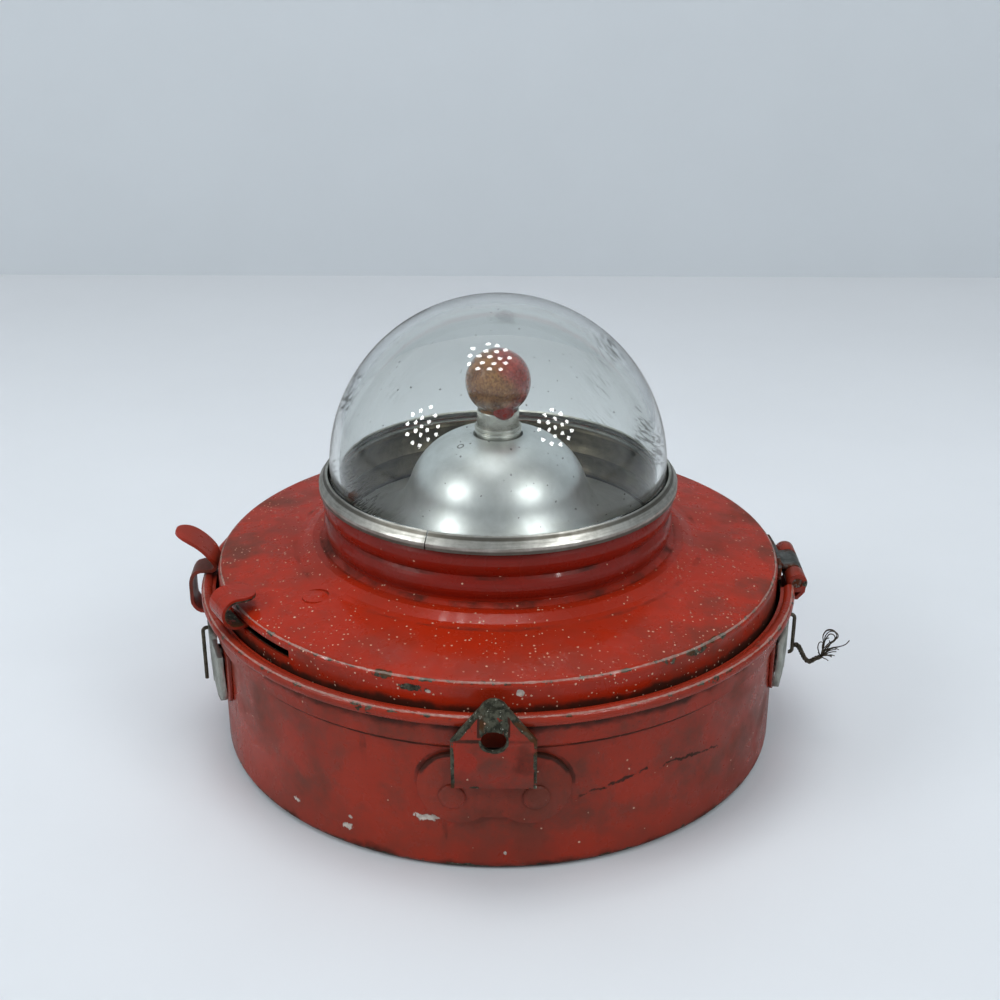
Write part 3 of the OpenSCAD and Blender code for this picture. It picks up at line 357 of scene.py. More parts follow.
def band(w, radius, height, width, ragged=0.8):
    """Ragged band round the lantern; its place and width are in millimetres."""
    return use(w, "ring_band", Radius=radius * MM, Height=height * MM, Width=width * MM,
               Ragged=ragged)["Mask"]


def patches(w, places, ragged=0.5, grain=900.0):
    """Ragged patches, each given as a place and half sizes in millimetres."""
    masks = [use(w, "patch", At=tuple(v * MM for v in at), Size=tuple(v * MM for v in size),
                 Ragged=ragged, Grain=grain)["Mask"] for at, size in places]
    return w.most(*masks)


def enamelled(name, paint, wear, grime_and_shade=0.0, chips=0.5, specks=0.3, film=0.3, primer_and_highlight=0.0,
              inner=None):
    """Red enamel; each setting is a value, or a function that makes it in the wiring."""
    made, w, shader = finish(name, Coat_Roughness=0.07, Coat_IOR=1.5, Specular_IOR_Level=0.20)
    settings = {"Paint": paint, "Wear": wear, "GrimeAndShade": grime_and_shade, "Chips": chips, "Specks": specks,
                "Film": film, "PrimerAndHighlight": primer_and_highlight}
    old = use(w, "old_enamel", **{key: value(w) if callable(value) else value
                                  for key, value in settings.items()})
    lines = w.most(scratched(w, 0.55, 0.25), scratched(w, -0.9, 0.2, 1800.0, 60.0))
    lines = w.times(lines, 0.45)
    colour = w.mix(lines, old["Color"], (0.09, 0.026, 0.015))
    rough = w.plus(old["Roughness"], w.times(lines, 0.3))
    metal, gloss = old["Metal"], w.step(old["Roughness"], 0.26, 0.48, 0.28, 0.0)
    if inner:
        # The inner side was never painted
        bare = inner(w)
        steel = use(w, "dull_metal", Light=(0.115, 0.100, 0.070), Dark=(0.040, 0.034, 0.022),
                    Oxide=(0.040, 0.022, 0.011), Spots=0.45, Grain=170.0)
        colour = w.mix(bare, colour, steel["Color"])
        rough = w.node("ShaderNodeMix", {0: bare, 2: rough, 3: steel["Roughness"]}).outputs[0]
        metal = w.most(metal, w.times(bare, 0.7))
        gloss = w.times(gloss, w.minus(1.0, bare))
    dress(w, shader, colour, rough, old["Height"], 0.0010)
    w.feed(shader.inputs["Metallic"], metal)
    w.feed(shader.inputs["Coat Weight"], gloss)
    return made


def bare_metal(name, light, dark, oxide, spots=0.3, grain=300.0, depth=0.0006, extra=None):
    """Dull metal; extra may be a function that changes its colour and roughness."""
    made, w, shader = finish(name)
    metal = use(w, "dull_metal", Light=light, Dark=dark, Oxide=oxide, Spots=spots, Grain=grain)
    colour, rough = metal["Color"], metal["Roughness"]
    if extra:
        colour, rough = extra(w, colour, rough)
    dress(w, shader, colour, rough, metal["Height"], depth)
    w.feed(shader.inputs["Metallic"], w.step(metal["Oxidised"], 0.0, 1.0, 0.95, 0.35))
    return made


# ------------------------------------------------------------------ finishes
# Places that the finishes share, in metres
LOBE_X, LOBE_Z = 0.0078, 0.0213
RIVET_X, RIVET_Z = 0.0087, 0.0193
HASP_HOLE_Z = 0.0364
NECK_FOOT_Z = 0.0520
CURL_R, CURL_Z = 0.0690, 0.0464


def lobe_reach(w, x, z):
    """Distance from the middle of the nearer lobe of the hasp's base."""
    return w.radius(w.minus(w.distance(x), LOBE_X), w.minus(z, LOBE_Z))


def can_wear(w):
    """Bare steel along the rim, the step and the foot, and two spots on the rim."""
    rim = band(w, 72, 40.2, 0.5)
    low = band(w, 72.4, 38.2, 0.6, 1.2)
    step = band(w, 69.8, 31.8, 0.6, 1)
    foot = band(w, 67.5, 0.6, 1.1, 0.9)
    spots = patches(w, [((-26.2, -67.0, 39.2), (2.6, 1.5, 0.9)),
                        ((47.5, -54.4, 39.6), (2.0, 2.0, 0.8))])
    return w.most(w.times(rim, 0.72), w.times(low, 0.35), w.times(step, 0.3),
                  w.times(foot, 0.9), spots)


def can_grime_and_shade(w):
    """Painted shade under the rim, and dirt on the step, at the foot and round the hasp, with
    streaks.
    """
    x, y, z = w.axes()
    # Painted shade under the overhanging rim
    rim_shade = w.times(w.step(z, 0.0330, 0.0372), w.step(z, 0.0385, 0.0375))
    step = near(w, z, 0.0311, 0.0009)
    foot = w.step(z, 0.0045, 0.0008, 0.0, 0.7)
    front = w.math("LESS_THAN", y, 0.0)
    # A long shallow scratch to the right of the hasp, blackened
    off = w.minus(x, 0.035)
    line = w.minus(0.0203, w.times(off, off, 9.8))
    wander = w.times(w.minus(w.noise(300.0, 4.0, 0.7), 0.5), 0.0035)
    scratch = near(w, w.plus(w.minus(z, line), wander), 0.0, 0.00048)
    ends = w.times(w.step(x, 0.0165, 0.0200), w.step(x, 0.0530, 0.0470))
    broken = w.cloud(420.0, 3.0, 0.6, 0.36, 0.48)
    scratch = w.times(scratch, ends, front, broken)
    # Streaks that run down the wall
    runs = w.noise(1.0, 3.0, 0.6, w.place(scale=(330.0, 330.0, 28.0)))
    runs = w.times(w.step(runs, 0.56, 0.72), 0.45)
    # Dirt ring on the wall just outside the hasp base's two lobes
    ring = w.times(near(w, lobe_reach(w, x, z), 0.0088, 0.0008), w.step(z, 0.0195, 0.0215), front)
    return w.most(rim_shade, step, foot, w.times(scratch, 1.15), runs, w.times(ring, 0.75))


def can_film(w):
    """The wall has dulled all over, least at the foot and above the step."""
    z = w.height()
    return w.times(w.step(z, 0.0040, 0.0130, 0.45, 0.85), w.step(z, 0.0345, 0.0370, 1.0, 0.35))


def can_primer_and_highlight(w):
    """Pale primer in five flaked places, and a painted highlight line along the rim's bead."""
    highlight_line = band(w, 71.5, 40.25, 0.24)
    spots = patches(w, [((-14.2, -66.5, 12.6), (2.6, 1.6, 0.75)),
                        ((-32.1, -59.9, 5.6), (1.3, 1.3, 0.7)),
                        ((-44.2, -51.7, 6.6), (0.9, 0.9, 0.6)),
                        ((2.3, -68.0, 4.6), (0.3, 0.5, 0.45)),
                        ((-31.5, -60.3, 8.2), (0.5, 0.5, 0.4))], ragged=0.8)
    return w.most(spots, w.times(highlight_line, 0.38))


def lid_wear(w):
    """Bare steel along the shoulder, the pressed ring, the beads and the lip."""
    shoulder = band(w, 67.3, 45.8, 0.5)
    ridge = band(w, 45, 50.1, 0.8, 1.4)
    lip = band(w, 42.2, 64, 0.6)
    beads = band(w, 42.1, 59.9, 0.6, 1.6)
    spots = patches(w, [((-16.6, -65.6, 43.7), (3.2, 2.0, 0.8)),
                        ((-23.4, -63.5, 45.6), (3.0, 1.6, 0.9)),
                        ((36.8, -56.8, 45.4), (1.5, 1.5, 0.9)),
                        ((43.2, -52.1, 45.3), (3.0, 3.0, 0.9)),
                        ((49.0, -46.5, 45.6), (0.9, 0.9, 0.6))])
    return w.most(w.times(shoulder, 0.80), w.times(ridge, 0.2), w.times(lip, 0.7),
                  w.times(beads, 0.3), w.times(spots, 1.25))


def lid_primer_and_highlight(w):
    """Pale primer in two flaked places, and a painted highlight line along the shoulder."""
    spots = patches(w, [((5.4, -67.5, 43.7), (0.85, 0.8, 0.85)),
                        ((-13.5, -66.3, 43.3), (0.6, 0.6, 0.4))], ragged=0.2, grain=1100.0)
    highlight_line = band(w, 67.15, 45.81, 0.24)
    return w.most(spots, w.times(highlight_line, 0.42))


def lid_film(w):
    """The skirt and the outer slope are duller than the rest of the lid."""
    x, y, _ = w.axes()
    sides = w.step(w.distance(x), 0.022, 0.058, 0.30, 0.85)
    return w.times(sides, w.step(w.radius(x, y), 0.045, 0.060, 0.5, 1.0))


def lid_paint(w):
    """The neck has kept a deeper red than the slope."""
    on_neck = w.step(w.height(), 0.0498, NECK_FOOT_Z)
    return w.mix(on_neck, (0.385, 0.020, 0.0035), (0.235, 0.0095, 0.0022))


def lid_specks(w):
    """Specks lie on the slope; the neck has nearly none."""
    return w.step(w.height(), NECK_FOOT_Z, 0.0495, 0.10, 1.35)


def lid_grime_and_shade(w):
    """Dirt at the neck's foot, between its beads and round the pressed ring, and painted shade low
    on the skirt.
    """
    r, z = w.polar()
    foot = band(w, 42.2, 50.5, 1.3, 0.4)
    groove = band(w, 41, 56.9, 0.9, 0.4)
    toe = band(w, 49.2, 48.4, 0.8)
    # Painted shade low on the skirt, in the gap above the can's rim
    skirt_shade = w.times(w.step(z, 0.0425, 0.0395), w.step(r, 0.0670, 0.0677))
    return w.most(w.times(foot, 0.55), w.times(groove, 0.5), w.times(toe, 0.45), skirt_shade)


def lid_inside(w):
    """The lid's inner side, by distance from its outer profile."""
    r, z = w.polar()
    wave = w.distance(w.math("SINE", w.times(w.minus(z, 0.0510), pi / 0.0059)))
    wall = w.plus(0.04062, w.times(wave, 0.0011))
    neck = w.times(w.step(z, 0.0504, 0.0510), w.step(w.minus(wall, r), -0.0001, 0.0001),
                   w.step(z, 0.0640, 0.0636))
    # Under the cone, and inside the skirt
    cone = w.plus(0.0458, w.times(w.minus(0.0664, r), 0.127))
    rise = w.times(w.most(0.0, w.minus(0.0423, r)), 0.77)
    cone = w.plus(cone, w.plus(w.step(r, 0.0474, 0.0449, 0.0, 0.00107), rise))
    under = w.times(w.step(w.minus(cone, z), -0.0001, 0.0001), w.step(r, 0.0673, 0.0671))
    return w.most(neck, under)


def can_inside(w):
    """The can's inner side: inside the wall, or above the floor."""
    r, z = w.polar()
    wall = w.times(w.step(r, 0.06762, 0.06758), w.step(z, 0.0004, 0.0005))
    socket = w.times(w.step(r, 0.06912, 0.06908), w.step(z, 0.0322, 0.0324))
    return w.most(wall, w.times(socket, w.step(z, 0.0389, 0.0386)))


def hasp_edges(w):
    """Bare edges of the peaked plate, its hole and its rib."""
    x, _, z = w.axes()
    side = w.distance(x)
    sides = w.times(w.step(side, 0.0078, 0.0083), w.step(z, 0.0372, HASP_HOLE_Z))
    bottom = w.times(w.step(z, 0.0252, 0.0246), 0.5)
    # The two slopes run from (8.8, 36.4) to (2.6, 43.1) on either side
    slope = w.plus(w.times(side, 0.734), w.times(z, 0.679))
    slopes = w.times(w.step(slope, 0.0298, 0.0303), w.step(z, 0.0355, 0.0368))
    peak = w.step(z, 0.0420, 0.0428)
    hole = w.step(w.radius(x, w.minus(z, HASP_HOLE_Z)), 0.0033, 0.0029)
    rib = w.times(w.step(side, 0.0031, 0.0027), w.step(z, 0.0366, 0.0375))
    return w.times(w.most(sides, bottom, slopes, peak, hole, rib), 1.55)


def hasp_film(w):
    """Dull all over, apart from one brighter patch to the left of the hole."""
    bright_patch = patches(w, [((-5.6, -72.0, 31.2), (2.4, 6.0, 2.6))], ragged=0.12, grain=400.0)
    return w.times(w.minus(1.0, bright_patch), 0.95)


def hasp_grime_and_shade(w):
    """Dirt in the crease below the peak and beside the rib, and painted shade over the plate's
    right half.
    """
    x, _, z = w.axes()
    crease = near(w, z, HASP_HOLE_Z, 0.0006)
    # Painted shade: the plate's right half is darker
    right = w.times(w.step(x, -0.001, 0.006, 0.10, 0.45), w.step(z, 0.0262, 0.0290))
    rib = w.times(w.step(w.distance(w.minus(w.distance(x), 0.0029)), 0.0006, 0.0003),
                  w.step(z, 0.0368, 0.0376))
    return w.most(w.times(crease, 0.7), right, w.times(rib, 1.2))


def base_grime(w):
    """Dirt packed along the tops of the two lobes, and a little round the heads."""
    x, _, z = w.axes()
    upper = w.times(w.step(lobe_reach(w, x, z), 0.0072, 0.0082), w.step(z, 0.0222, 0.0262))
    heads = w.radius(w.minus(w.distance(x), RIVET_X), w.minus(z, RIVET_Z))
    return w.most(w.times(upper, 1.1), w.times(near(w, heads, 0.0030, 0.0004), 0.4))


def edge_glints(radius_mm, height_mm, width_mm):
    """Wear that lies in one band round the lantern."""
    return lambda w: band(w, radius_mm, height_mm, width_mm, 0.9)


def strap_wear(w):
    """The catch is worn where a thumb presses it and where it bulges."""
    z = w.height()
    tab = w.step(z, 0.0520, 0.0560)
    bulge = near(w, z, 0.0345, 0.0022)
    return w.most(w.times(tab, 0.35), w.times(bulge, 0.35))


def strap_film(w):
    """The thumb tab is cleaner than the strap."""
    return w.step(w.height(), 0.0450, 0.0420, 0.25, 1.0)


def lever_wear(w):
    """Bare inside the curl and under the upper turn."""
    r, z = w.polar()
    reach = w.radius(w.minus(r, CURL_R), w.minus(z, CURL_Z))
    curl = w.times(w.step(reach, 0.00318, 0.00308), w.step(r, 0.0676, 0.0682))
    under = w.times(w.step(z, 0.04945, 0.04935), w.step(z, 0.0445, 0.0460),
                    w.step(r, 0.0694, 0.0688))
    stem = w.times(w.step(r, 0.0672, 0.0668), w.step(z, 0.0452, 0.0445))
    return w.times(w.most(curl, under, stem), 1.5)


enamel_can = enamelled("enamel_can", (0.315, 0.024, 0.008), can_wear, can_grime_and_shade, chips=0.3,
                       specks=0.10, film=can_film, primer_and_highlight=can_primer_and_highlight, inner=can_inside)
enamel_lid = enamelled("enamel_lid", lid_paint, lid_wear, lid_grime_and_shade, chips=0.15,
                       specks=lid_specks, film=lid_film, primer_and_highlight=lid_primer_and_highlight, inner=lid_inside)
enamel_hasp = enamelled("enamel_hasp", (0.30, 0.020, 0.007), hasp_edges, hasp_grime_and_shade,
                        specks=0.12, film=hasp_film)
enamel_base = enamelled("enamel_base", (0.285, 0.026, 0.010), edge_glints(69.9, 13.5, 0.4),
                        base_grime, chips=0.1, specks=0.08, film=0.75)
enamel_catch = enamelled("enamel_catch", (0.32, 0.022, 0.006), strap_wear, chips=0.4,
                         specks=0.2, film=strap_film)
enamel_lever = enamelled("enamel_lever", (0.34, 0.020, 0.006), lever_wear, chips=0.3,
                         specks=0.6, film=0.6)
enamel_hinge = enamelled("enamel_hinge", (0.27, 0.024, 0.010), edge_glints(74.3, 40.3, 0.9),
                         chips=0.8, specks=0.2, film=0.6)
enamel_leg = enamelled("enamel_leg", (0.26, 0.022, 0.009), edge_glints(68.9, 12.0, 0.8),
                       specks=0.05, film=0.8)


def zinc_edges(w, colour, rough):
    """The ear plates are darker along their lower edge and in the shade of the rim."""
    z = w.height()
    shade = w.step(z, 0.0300, 0.0345)
    low = near(w, z, 0.0158, 0.0007)
    dark = w.times(w.most(shade, low), w.cloud(500.0, 4.0, 0.7, 0.3, 0.6, 0.4, 0.9))
    return w.mix(dark, colour, (0.085, 0.075, 0.052)), w.plus(rough, w.times(dark, 0.15))


zinc = bare_metal("dull_zinc", (0.60, 0.63, 0.58), (0.42, 0.44, 0.40), (0.12, 0.105, 0.07),
                  spots=0.30, grain=260.0, extra=zinc_edges)


def hinge_ends(w, colour, rough):
    """The bare middle knuckle is rusty towards its two ends."""
    _, y, _ = w.axes()
    ends = w.step(w.distance(y), 0.0026, 0.0046)
    ends = w.times(ends, w.cloud(700.0, 4.0, 0.7, 0.35, 0.55))
    return w.mix(ends, colour, (0.16, 0.045, 0.020)), w.plus(rough, w.times(ends, 0.2))


hinge_steel = bare_metal("hinge_steel", (0.27, 0.29, 0.28), (0.11, 0.12, 0.11),
                         (0.075, 0.030, 0.014), spots=0.40, grain=420.0, extra=hinge_ends)
bridge_steel = bare_metal("bridge_steel", (0.50, 0.50, 0.48), (0.30, 0.30, 0.28),
                          (0.14, 0.06, 0.025), spots=0.25, grain=220.0)
rusty_wire = bare_metal("rusty_wire", (0.135, 0.115, 0.088), (0.045, 0.039, 0.029),
                        (0.085, 0.040, 0.017), spots=0.5, grain=900.0)
old_brass = bare_metal("old_brass", (0.55, 0.38, 0.15), (0.30, 0.19, 0.07), (0.05, 0.06, 0.035),
                       spots=0.35, grain=380.0)


def plated(w, colour, rough):
    """Plate that has kept its shine: smoother than bare metal."""
    return colour, w.times(rough, 0.55)


nickel = bare_metal("nickel_plate", (0.66, 0.655, 0.60), (0.50, 0.49, 0.43), (0.16, 0.13, 0.08),
                    spots=0.12, grain=500.0, extra=plated)


def ring_streaks_and_shade(w, colour, rough):
    """Rubbed streaks that run round the retaining ring, and painted shade on its hook and top edge.
    """
    x, y, z = w.axes()
    at = w.node("ShaderNodeCombineXYZ", {"X": w.times(x, 120.0), "Y": w.times(y, 120.0),
                                         "Z": w.times(z, 1800.0)}).outputs[0]
    streak = w.step(w.noise(1.0, 4.0, 0.6, at), 0.42, 0.68)
    # Painted shade on the hook under the ring and along its top edge, against the glass
    edges = w.most(w.step(z, 0.0639, 0.0635), near(w, z, 0.0661, 0.0005))
    colour = w.mix(w.times(streak, 0.45), colour, (0.20, 0.20, 0.165))
    colour = w.mix(w.times(edges, 0.75), colour, (0.060, 0.050, 0.032))
    return colour, w.plus(rough, w.times(streak, 0.1))


ring_metal = bare_metal("ring_metal", (0.66, 0.66, 0.61), (0.44, 0.44, 0.40), (0.13, 0.105, 0.07),
                        spots=0.18, grain=260.0, extra=ring_streaks_and_shade)


def reflector_haze(w, colour, rough):
    """Polished, slightly hazed bright metal with specks, a ring spot and a warm smudge."""
    r, _ = w.polar()
    haze = w.cloud(60.0, 5.0, 0.65, 0.35, 0.75)
    specks = speckle(w, 620.0, 0.12, 0.25)
    bright = speckle(w, 330.0, 0.10, 0.5)
    drop = w.node("ShaderNodeVectorMath", {0: w.place(), 1: (-0.0088, -0.0068, 0.0745)},
                  operation="DISTANCE")
    spot = near(w, drop.outputs["Value"], 0.00085, 0.00022)
    warm = patches(w, [((20.5, -16.0, 62.0), (2.6, 3.0, 3.0))], ragged=0.3, grain=260.0)
    colour = w.mix(w.times(haze, 0.35), colour, (0.46, 0.48, 0.45))
    colour = w.mix(w.times(warm, 0.4), colour, (0.45, 0.34, 0.24))
    colour = w.mix(w.times(bright, 0.7), colour, (0.85, 0.85, 0.82))
    colour = w.mix(w.times(w.most(specks, spot), 0.8), colour, (0.10, 0.09, 0.075))
    # The flare is a little smoother than the crown
    smoother = w.times(w.step(r, 0.020, 0.030), -0.05)
    return colour, w.plus(w.step(haze, 0.0, 1.0, 0.34, 0.41), smoother)


bright_reflector = bare_metal("bright_reflector", (0.74, 0.76, 0.755), (0.62, 0.64, 0.63),
                              (0.36, 0.35, 0.31), spots=0.06, grain=120.0, depth=0.00012,
                              extra=reflector_haze)


def plain(name, colour_a, colour_b, grain, rough):
    """A dielectric of two close tones, for fibre, phenolic and rubber."""
    made, w, shader = finish(name)
    tone = w.noise(grain, 5.0, 0.65)
    dust = w.cloud(grain * 0.3, 4.0, 0.55, 0.5, 0.8, 0.0, 0.35)
    colour = w.mix(w.step(tone, 0.3, 0.7), colour_a, colour_b)
    dress(w, shader, w.mix(dust, colour, (0.25, 0.22, 0.18)),
          w.step(tone, 0.2, 0.8, rough, rough + 0.15), w.times(tone, 0.1), 0.0004)
    return made


phenolic = plain("moulded_phenolic", (0.050, 0.022, 0.012), (0.085, 0.035, 0.018), 300.0, 0.28)
fibre = plain("fibre_board", (0.20, 0.13, 0.07), (0.28, 0.19, 0.11), 500.0, 0.7)
gasket_rubber = plain("aged_rubber", (0.025, 0.026, 0.022), (0.05, 0.05, 0.042), 600.0, 0.6)


def cell_jacket():
    """Scuffed blue card, plain."""
    made, w, shader = finish("cell_jacket")
    tone = w.noise(220.0, 4.0)
    card = w.mix(w.step(tone, 0.3, 0.7), (0.035, 0.055, 0.10), (0.05, 0.075, 0.13))
    scuffs = scratched(w, 0.2, 0.5)
    dress(w, shader, w.mix(w.times(scuffs, 0.6), card, (0.3, 0.3, 0.28)),
          w.step(tone, 0.2, 0.8, 0.3, 0.45), w.times(tone, 0.05), 0.0004)
    return made


jacket = cell_jacket()


def clear_glass():
    """Moulded glass, scuffed; shadow rays pass so that light reaches the lamp."""
    made, w, shader = finish("clear_glass", Transmission_Weight=1.0, IOR=1.5, Metallic=0.0)
    x, y, z = w.axes()
    sides = w.step(w.distance(x), 0.017, 0.030)
    front = w.step(y, 0.012, -0.004, 0.25, 1.0)
    # Hair scratches lean outwards on either side
    scuff = scratched(w, -0.85, 1.05, 3300.0, 260.0)
    cross = scratched(w, 0.85, 1.05, 3100.0, 280.0)
    right = w.math("GREATER_THAN", x, 0.0)
    both_sides = w.plus(w.times(scuff, right), w.times(cross, w.minus(1.0, right)))
    hair = w.times(both_sides, sides, front)
    specks = w.times(speckle(w, 640.0, 0.13, 0.28), front)
    film = w.cloud(60.0, 5.0, 0.7, 0.45, 0.8)
    # One dull smudge near the top
    off = w.plus(w.radius(w.minus(x, 0.0015), w.plus(y, 0.0100)),
                 w.times(w.noise(420.0, 5.0), 0.008))
    smudge = w.times(w.step(off, 0.0078, 0.0052), w.step(z, 0.103, 0.106))
    dirt = w.math("MINIMUM", 1.0, w.plus(w.times(w.most(specks, hair), 0.85),
                                         w.times(smudge, 0.32)))
    tint = w.mix(w.times(film, 0.25), (0.925, 0.946, 0.932), (0.84, 0.87, 0.85))
    dress(w, shader, w.mix(dirt, tint, (0.12, 0.12, 0.105)),
          w.plus(w.times(film, 0.015), w.times(dirt, 0.25)), w.noise(45.0, 1.0), 0.00010)
    shadow = w.node("ShaderNodeLightPath").outputs["Is Shadow Ray"]
    clear_where(w, shader, shadow, (0.93, 0.95, 0.95))
    return made


def lamp_lacquer():
    """Globe under mottled amber lacquer that runs to red at the right, top and foot."""
    made, w, shader = finish("lamp_lacquer", Transmission_Weight=0.10, IOR=1.45, Metallic=0.0,
                             Subsurface_Weight=0.2, Subsurface_Scale=0.0015,
                             Coat_Weight=0.9, Coat_Roughness=0.05)
    x, _, z = w.axes()
    run = w.minus(w.plus(w.times(x, 190.0), w.times(w.distance(w.minus(z, 0.0862)), 105.0)), 0.55)
    run = w.plus(run, w.times(w.minus(w.noise(260.0, 4.0), 0.5), 1.5))
    red = w.step(run, -0.15, 0.7)
    grain = w.cloud(1700.0, 4.0, 0.7, 0.44, 0.62)
    pale = w.step(w.noise(1250.0, 3.0, 0.7, w.place(move=(0.3, 0.1, 0.2))), 0.60, 0.70)
    thick = w.cloud(330.0, 4.0, 0.55, 0.35, 0.7)
    amber = w.mix(thick, (0.32, 0.160, 0.062), (0.18, 0.075, 0.028))
    rose = w.mix(thick, (0.36, 0.066, 0.052), (0.21, 0.024, 0.017))
    colour = w.mix(w.times(grain, 0.6), w.mix(red, amber, rose), (0.060, 0.022, 0.012))
    dress(w, shader, w.mix(w.times(pale, 0.35), colour, (0.52, 0.27, 0.14)),
          w.step(thick, 0.0, 1.0, 0.14, 0.28),
          w.plus(w.times(red, 0.3), w.times(grain, 0.12)), 0.0004)
    return made


def stem_glass():
    """Clouded glass inside the lamp."""
    made, w, shader = finish("stem_glass", Transmission_Weight=0.6, IOR=1.5)
    tone = w.noise(500.0, 3.0)
    dress(w, shader, w.mix(tone, (0.8, 0.8, 0.75), (0.6, 0.6, 0.55)),
          w.step(tone, 0.2, 0.8, 0.1, 0.25))
    return made


def thick_lacquer():
    """The same lacquer where it has run together, deep red."""
    made, w, shader = finish("thick_lacquer", Coat_Weight=0.8, Coat_Roughness=0.08)
    tone = w.noise(900.0, 4.0, 0.7)
    dress(w, shader, w.mix(w.step(tone, 0.35, 0.65), (0.25, 0.018, 0.012), (0.11, 0.008, 0.005)),
          w.step(tone, 0.3, 0.7, 0.22, 0.38), tone, 0.0002)
    return made


glass = clear_glass()
lacquer = lamp_lacquer()
drip_lacquer = thick_lacquer()

FINISHES = {
    enamel_can: ["can_shell"],
    enamel_lid: ["lid_shell", "lid_rivets"],
    enamel_hasp: ["hasp_plate"],
    enamel_base: ["hasp_base", "hasp_rivets"],
    enamel_leg: ["catch_leg", "ear_leg"],
    enamel_catch: ["snap_catch"],
    enamel_lever: ["switch_lever"],
    enamel_hinge: ["hinge_leaf_can"],
    zinc: ["ear_left", "ear_right", "ear_rivets"],
    hinge_steel: ["hinge_leaf_lid", "hinge_pin"],
    bridge_steel: ["bridge"],
    rusty_wire: ["bail_hook_left", "bail_hook_right", "wire_stub"],
    old_brass: ["cell_links", "terminal_strip", "ground_spring", "post_rivets", "centre_contact",
                "contact_leaf", "switch_washer", "switch_stud"],
    nickel: ["lamp_socket", "bulb_cap", "bulb_tip"],
    ring_metal: ["lens_ring"],
    bright_reflector: ["reflector"],
    phenolic: ["socket_post"],
    fibre: ["cell_liner"],
    gasket_rubber: ["lens_gasket"],
    jacket: ["cell_1", "cell_2", "cell_3", "cell_4"],
    glass: ["lens_dome"],
    lacquer: ["bulb_glass"],
    stem_glass(): ["bulb_stem"],
}
for material, names in FINISHES.items():
    for name in names:
        nodes[name].data.materials.clear()
        nodes[name].data.materials.append(material)


# -------------------------------------------------------------- finer pieces
BODY = {name: body for body, members in frame["record"]["behaviour"]["bodies"].items()
        for name in members}


def smooth(form):
    for face in form.faces:
        face.smooth = True


def meshed(form, name, *materials):
    """Ends a bmesh form as a new mesh with these materials."""
    mesh = bpy.data.meshes.new(name)
    form.to_mesh(mesh)
    form.free()
    for material in materials:
        mesh.materials.append(material)
    return mesh


def linked(name, data):
    made = bpy.data.objects.new(name, data)
    bpy.context.scene.collection.objects.link(made)
    return made


def riding(name, data, node):
    """A new piece on a node's body."""
    piece = linked(name, data)
    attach(piece, BODY[node])
    return piece


def ease_edges(piece, width_mm, angle):
    """Rounds over the edges that turn by more than angle degrees."""
    edge = piece.modifiers.new("eased_edges", "BEVEL")
    edge.width = width_mm * MM
    edge.segments = 2
    edge.limit_method = "ANGLE"
    edge.angle_limit = radians(angle)
    edge.harden_normals = True
    edge.use_clamp_overlap = True


def eased(name, width_mm):
    """Copy of a CAD node with its doubles merged and its edges rounded over."""
    mesh = nodes[name].data.copy()
    form = bmesh.new()
    form.from_mesh(mesh)
    bmesh.ops.remove_doubles(form, verts=form.verts, dist=2e-6)
    bmesh.ops.dissolve_limit(form, angle_limit=radians(1.0), verts=form.verts, edges=form.edges)
    smooth(form)
    form.to_mesh(mesh)
    form.free()
    piece = riding(name + "_eased", mesh, name)
    ease_edges(piece, width_mm, 32)
    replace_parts(piece, name)


def arc(across, up, radius, first, last, parts):
    """Points of an arc in a profile, in millimetres, between two angles in degrees."""
    angles = [radians(first + (last - first) * i / parts) for i in range(parts + 1)]
    return [(across + radius * cos(a), up + radius * sin(a)) for a in angles]


# Edges of turned pieces stay sharp above this angle in degrees; points this near are one
SHARP = 38
WELD = 1e-7


def turned(name, node, material, lines, steps=160):
    """Piece spun round the lantern's axis from open profile lines; replaces a node."""
    form = bmesh.new()
    for line in lines:
        points = [form.verts.new((r * MM, 0.0, z * MM)) for r, z in line]
        for first, second in zip(points, points[1:]):
            form.edges.new((first, second))
    bmesh.ops.remove_doubles(form, verts=form.verts, dist=WELD)
    bmesh.ops.spin(form, geom=form.verts[:] + form.edges[:], cent=(0, 0, 0), axis=(0, 0, 1),
                   angle=2 * pi, steps=steps, use_merge=True, use_duplicate=False)
    bmesh.ops.remove_doubles(form, verts=form.verts, dist=WELD)
    bmesh.ops.recalc_face_normals(form, faces=form.faces)
    smooth(form)
    for edge in form.edges:
        edge.smooth = len(edge.link_faces) == 2 and edge.calc_face_angle(0.0) < radians(SHARP)
    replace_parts(riding(name, meshed(form, name, material), node), node)


# Glass dome: bevelled flange, straight foot and hemisphere
DOME_Z, DOME_R, DOME_INNER_R = 67.5, 40.2, 38.0
turned("dome_glass", "lens_dome", glass, [
    [(DOME_INNER_R, DOME_Z), (DOME_INNER_R, 64.8), (41.4, 64.8), (41.4, 65.2), (41.2, 65.6),
     (40.55, 66.1), (40.25, 66.4)]
    + arc(0, DOME_Z, DOME_R, 0, 90, 48), arc(0, DOME_Z, DOME_INNER_R, 90, 0, 48)])

# Reflector: turned-down hole, convex crown, concave flare, flange, rim
CROWN_X, CROWN_Z, CROWN_R = 4.885, 58.0, 17.2
FLARE_X, FLARE_Z, FLARE_R = 39.48, 70.25, 19.5
FLARE, START = 70.5, 7.0
HOLE, SHEET = 5.82, 0.6
REFLECTOR_RIM, REFLECTOR_FOOT = 39.4, 46.6


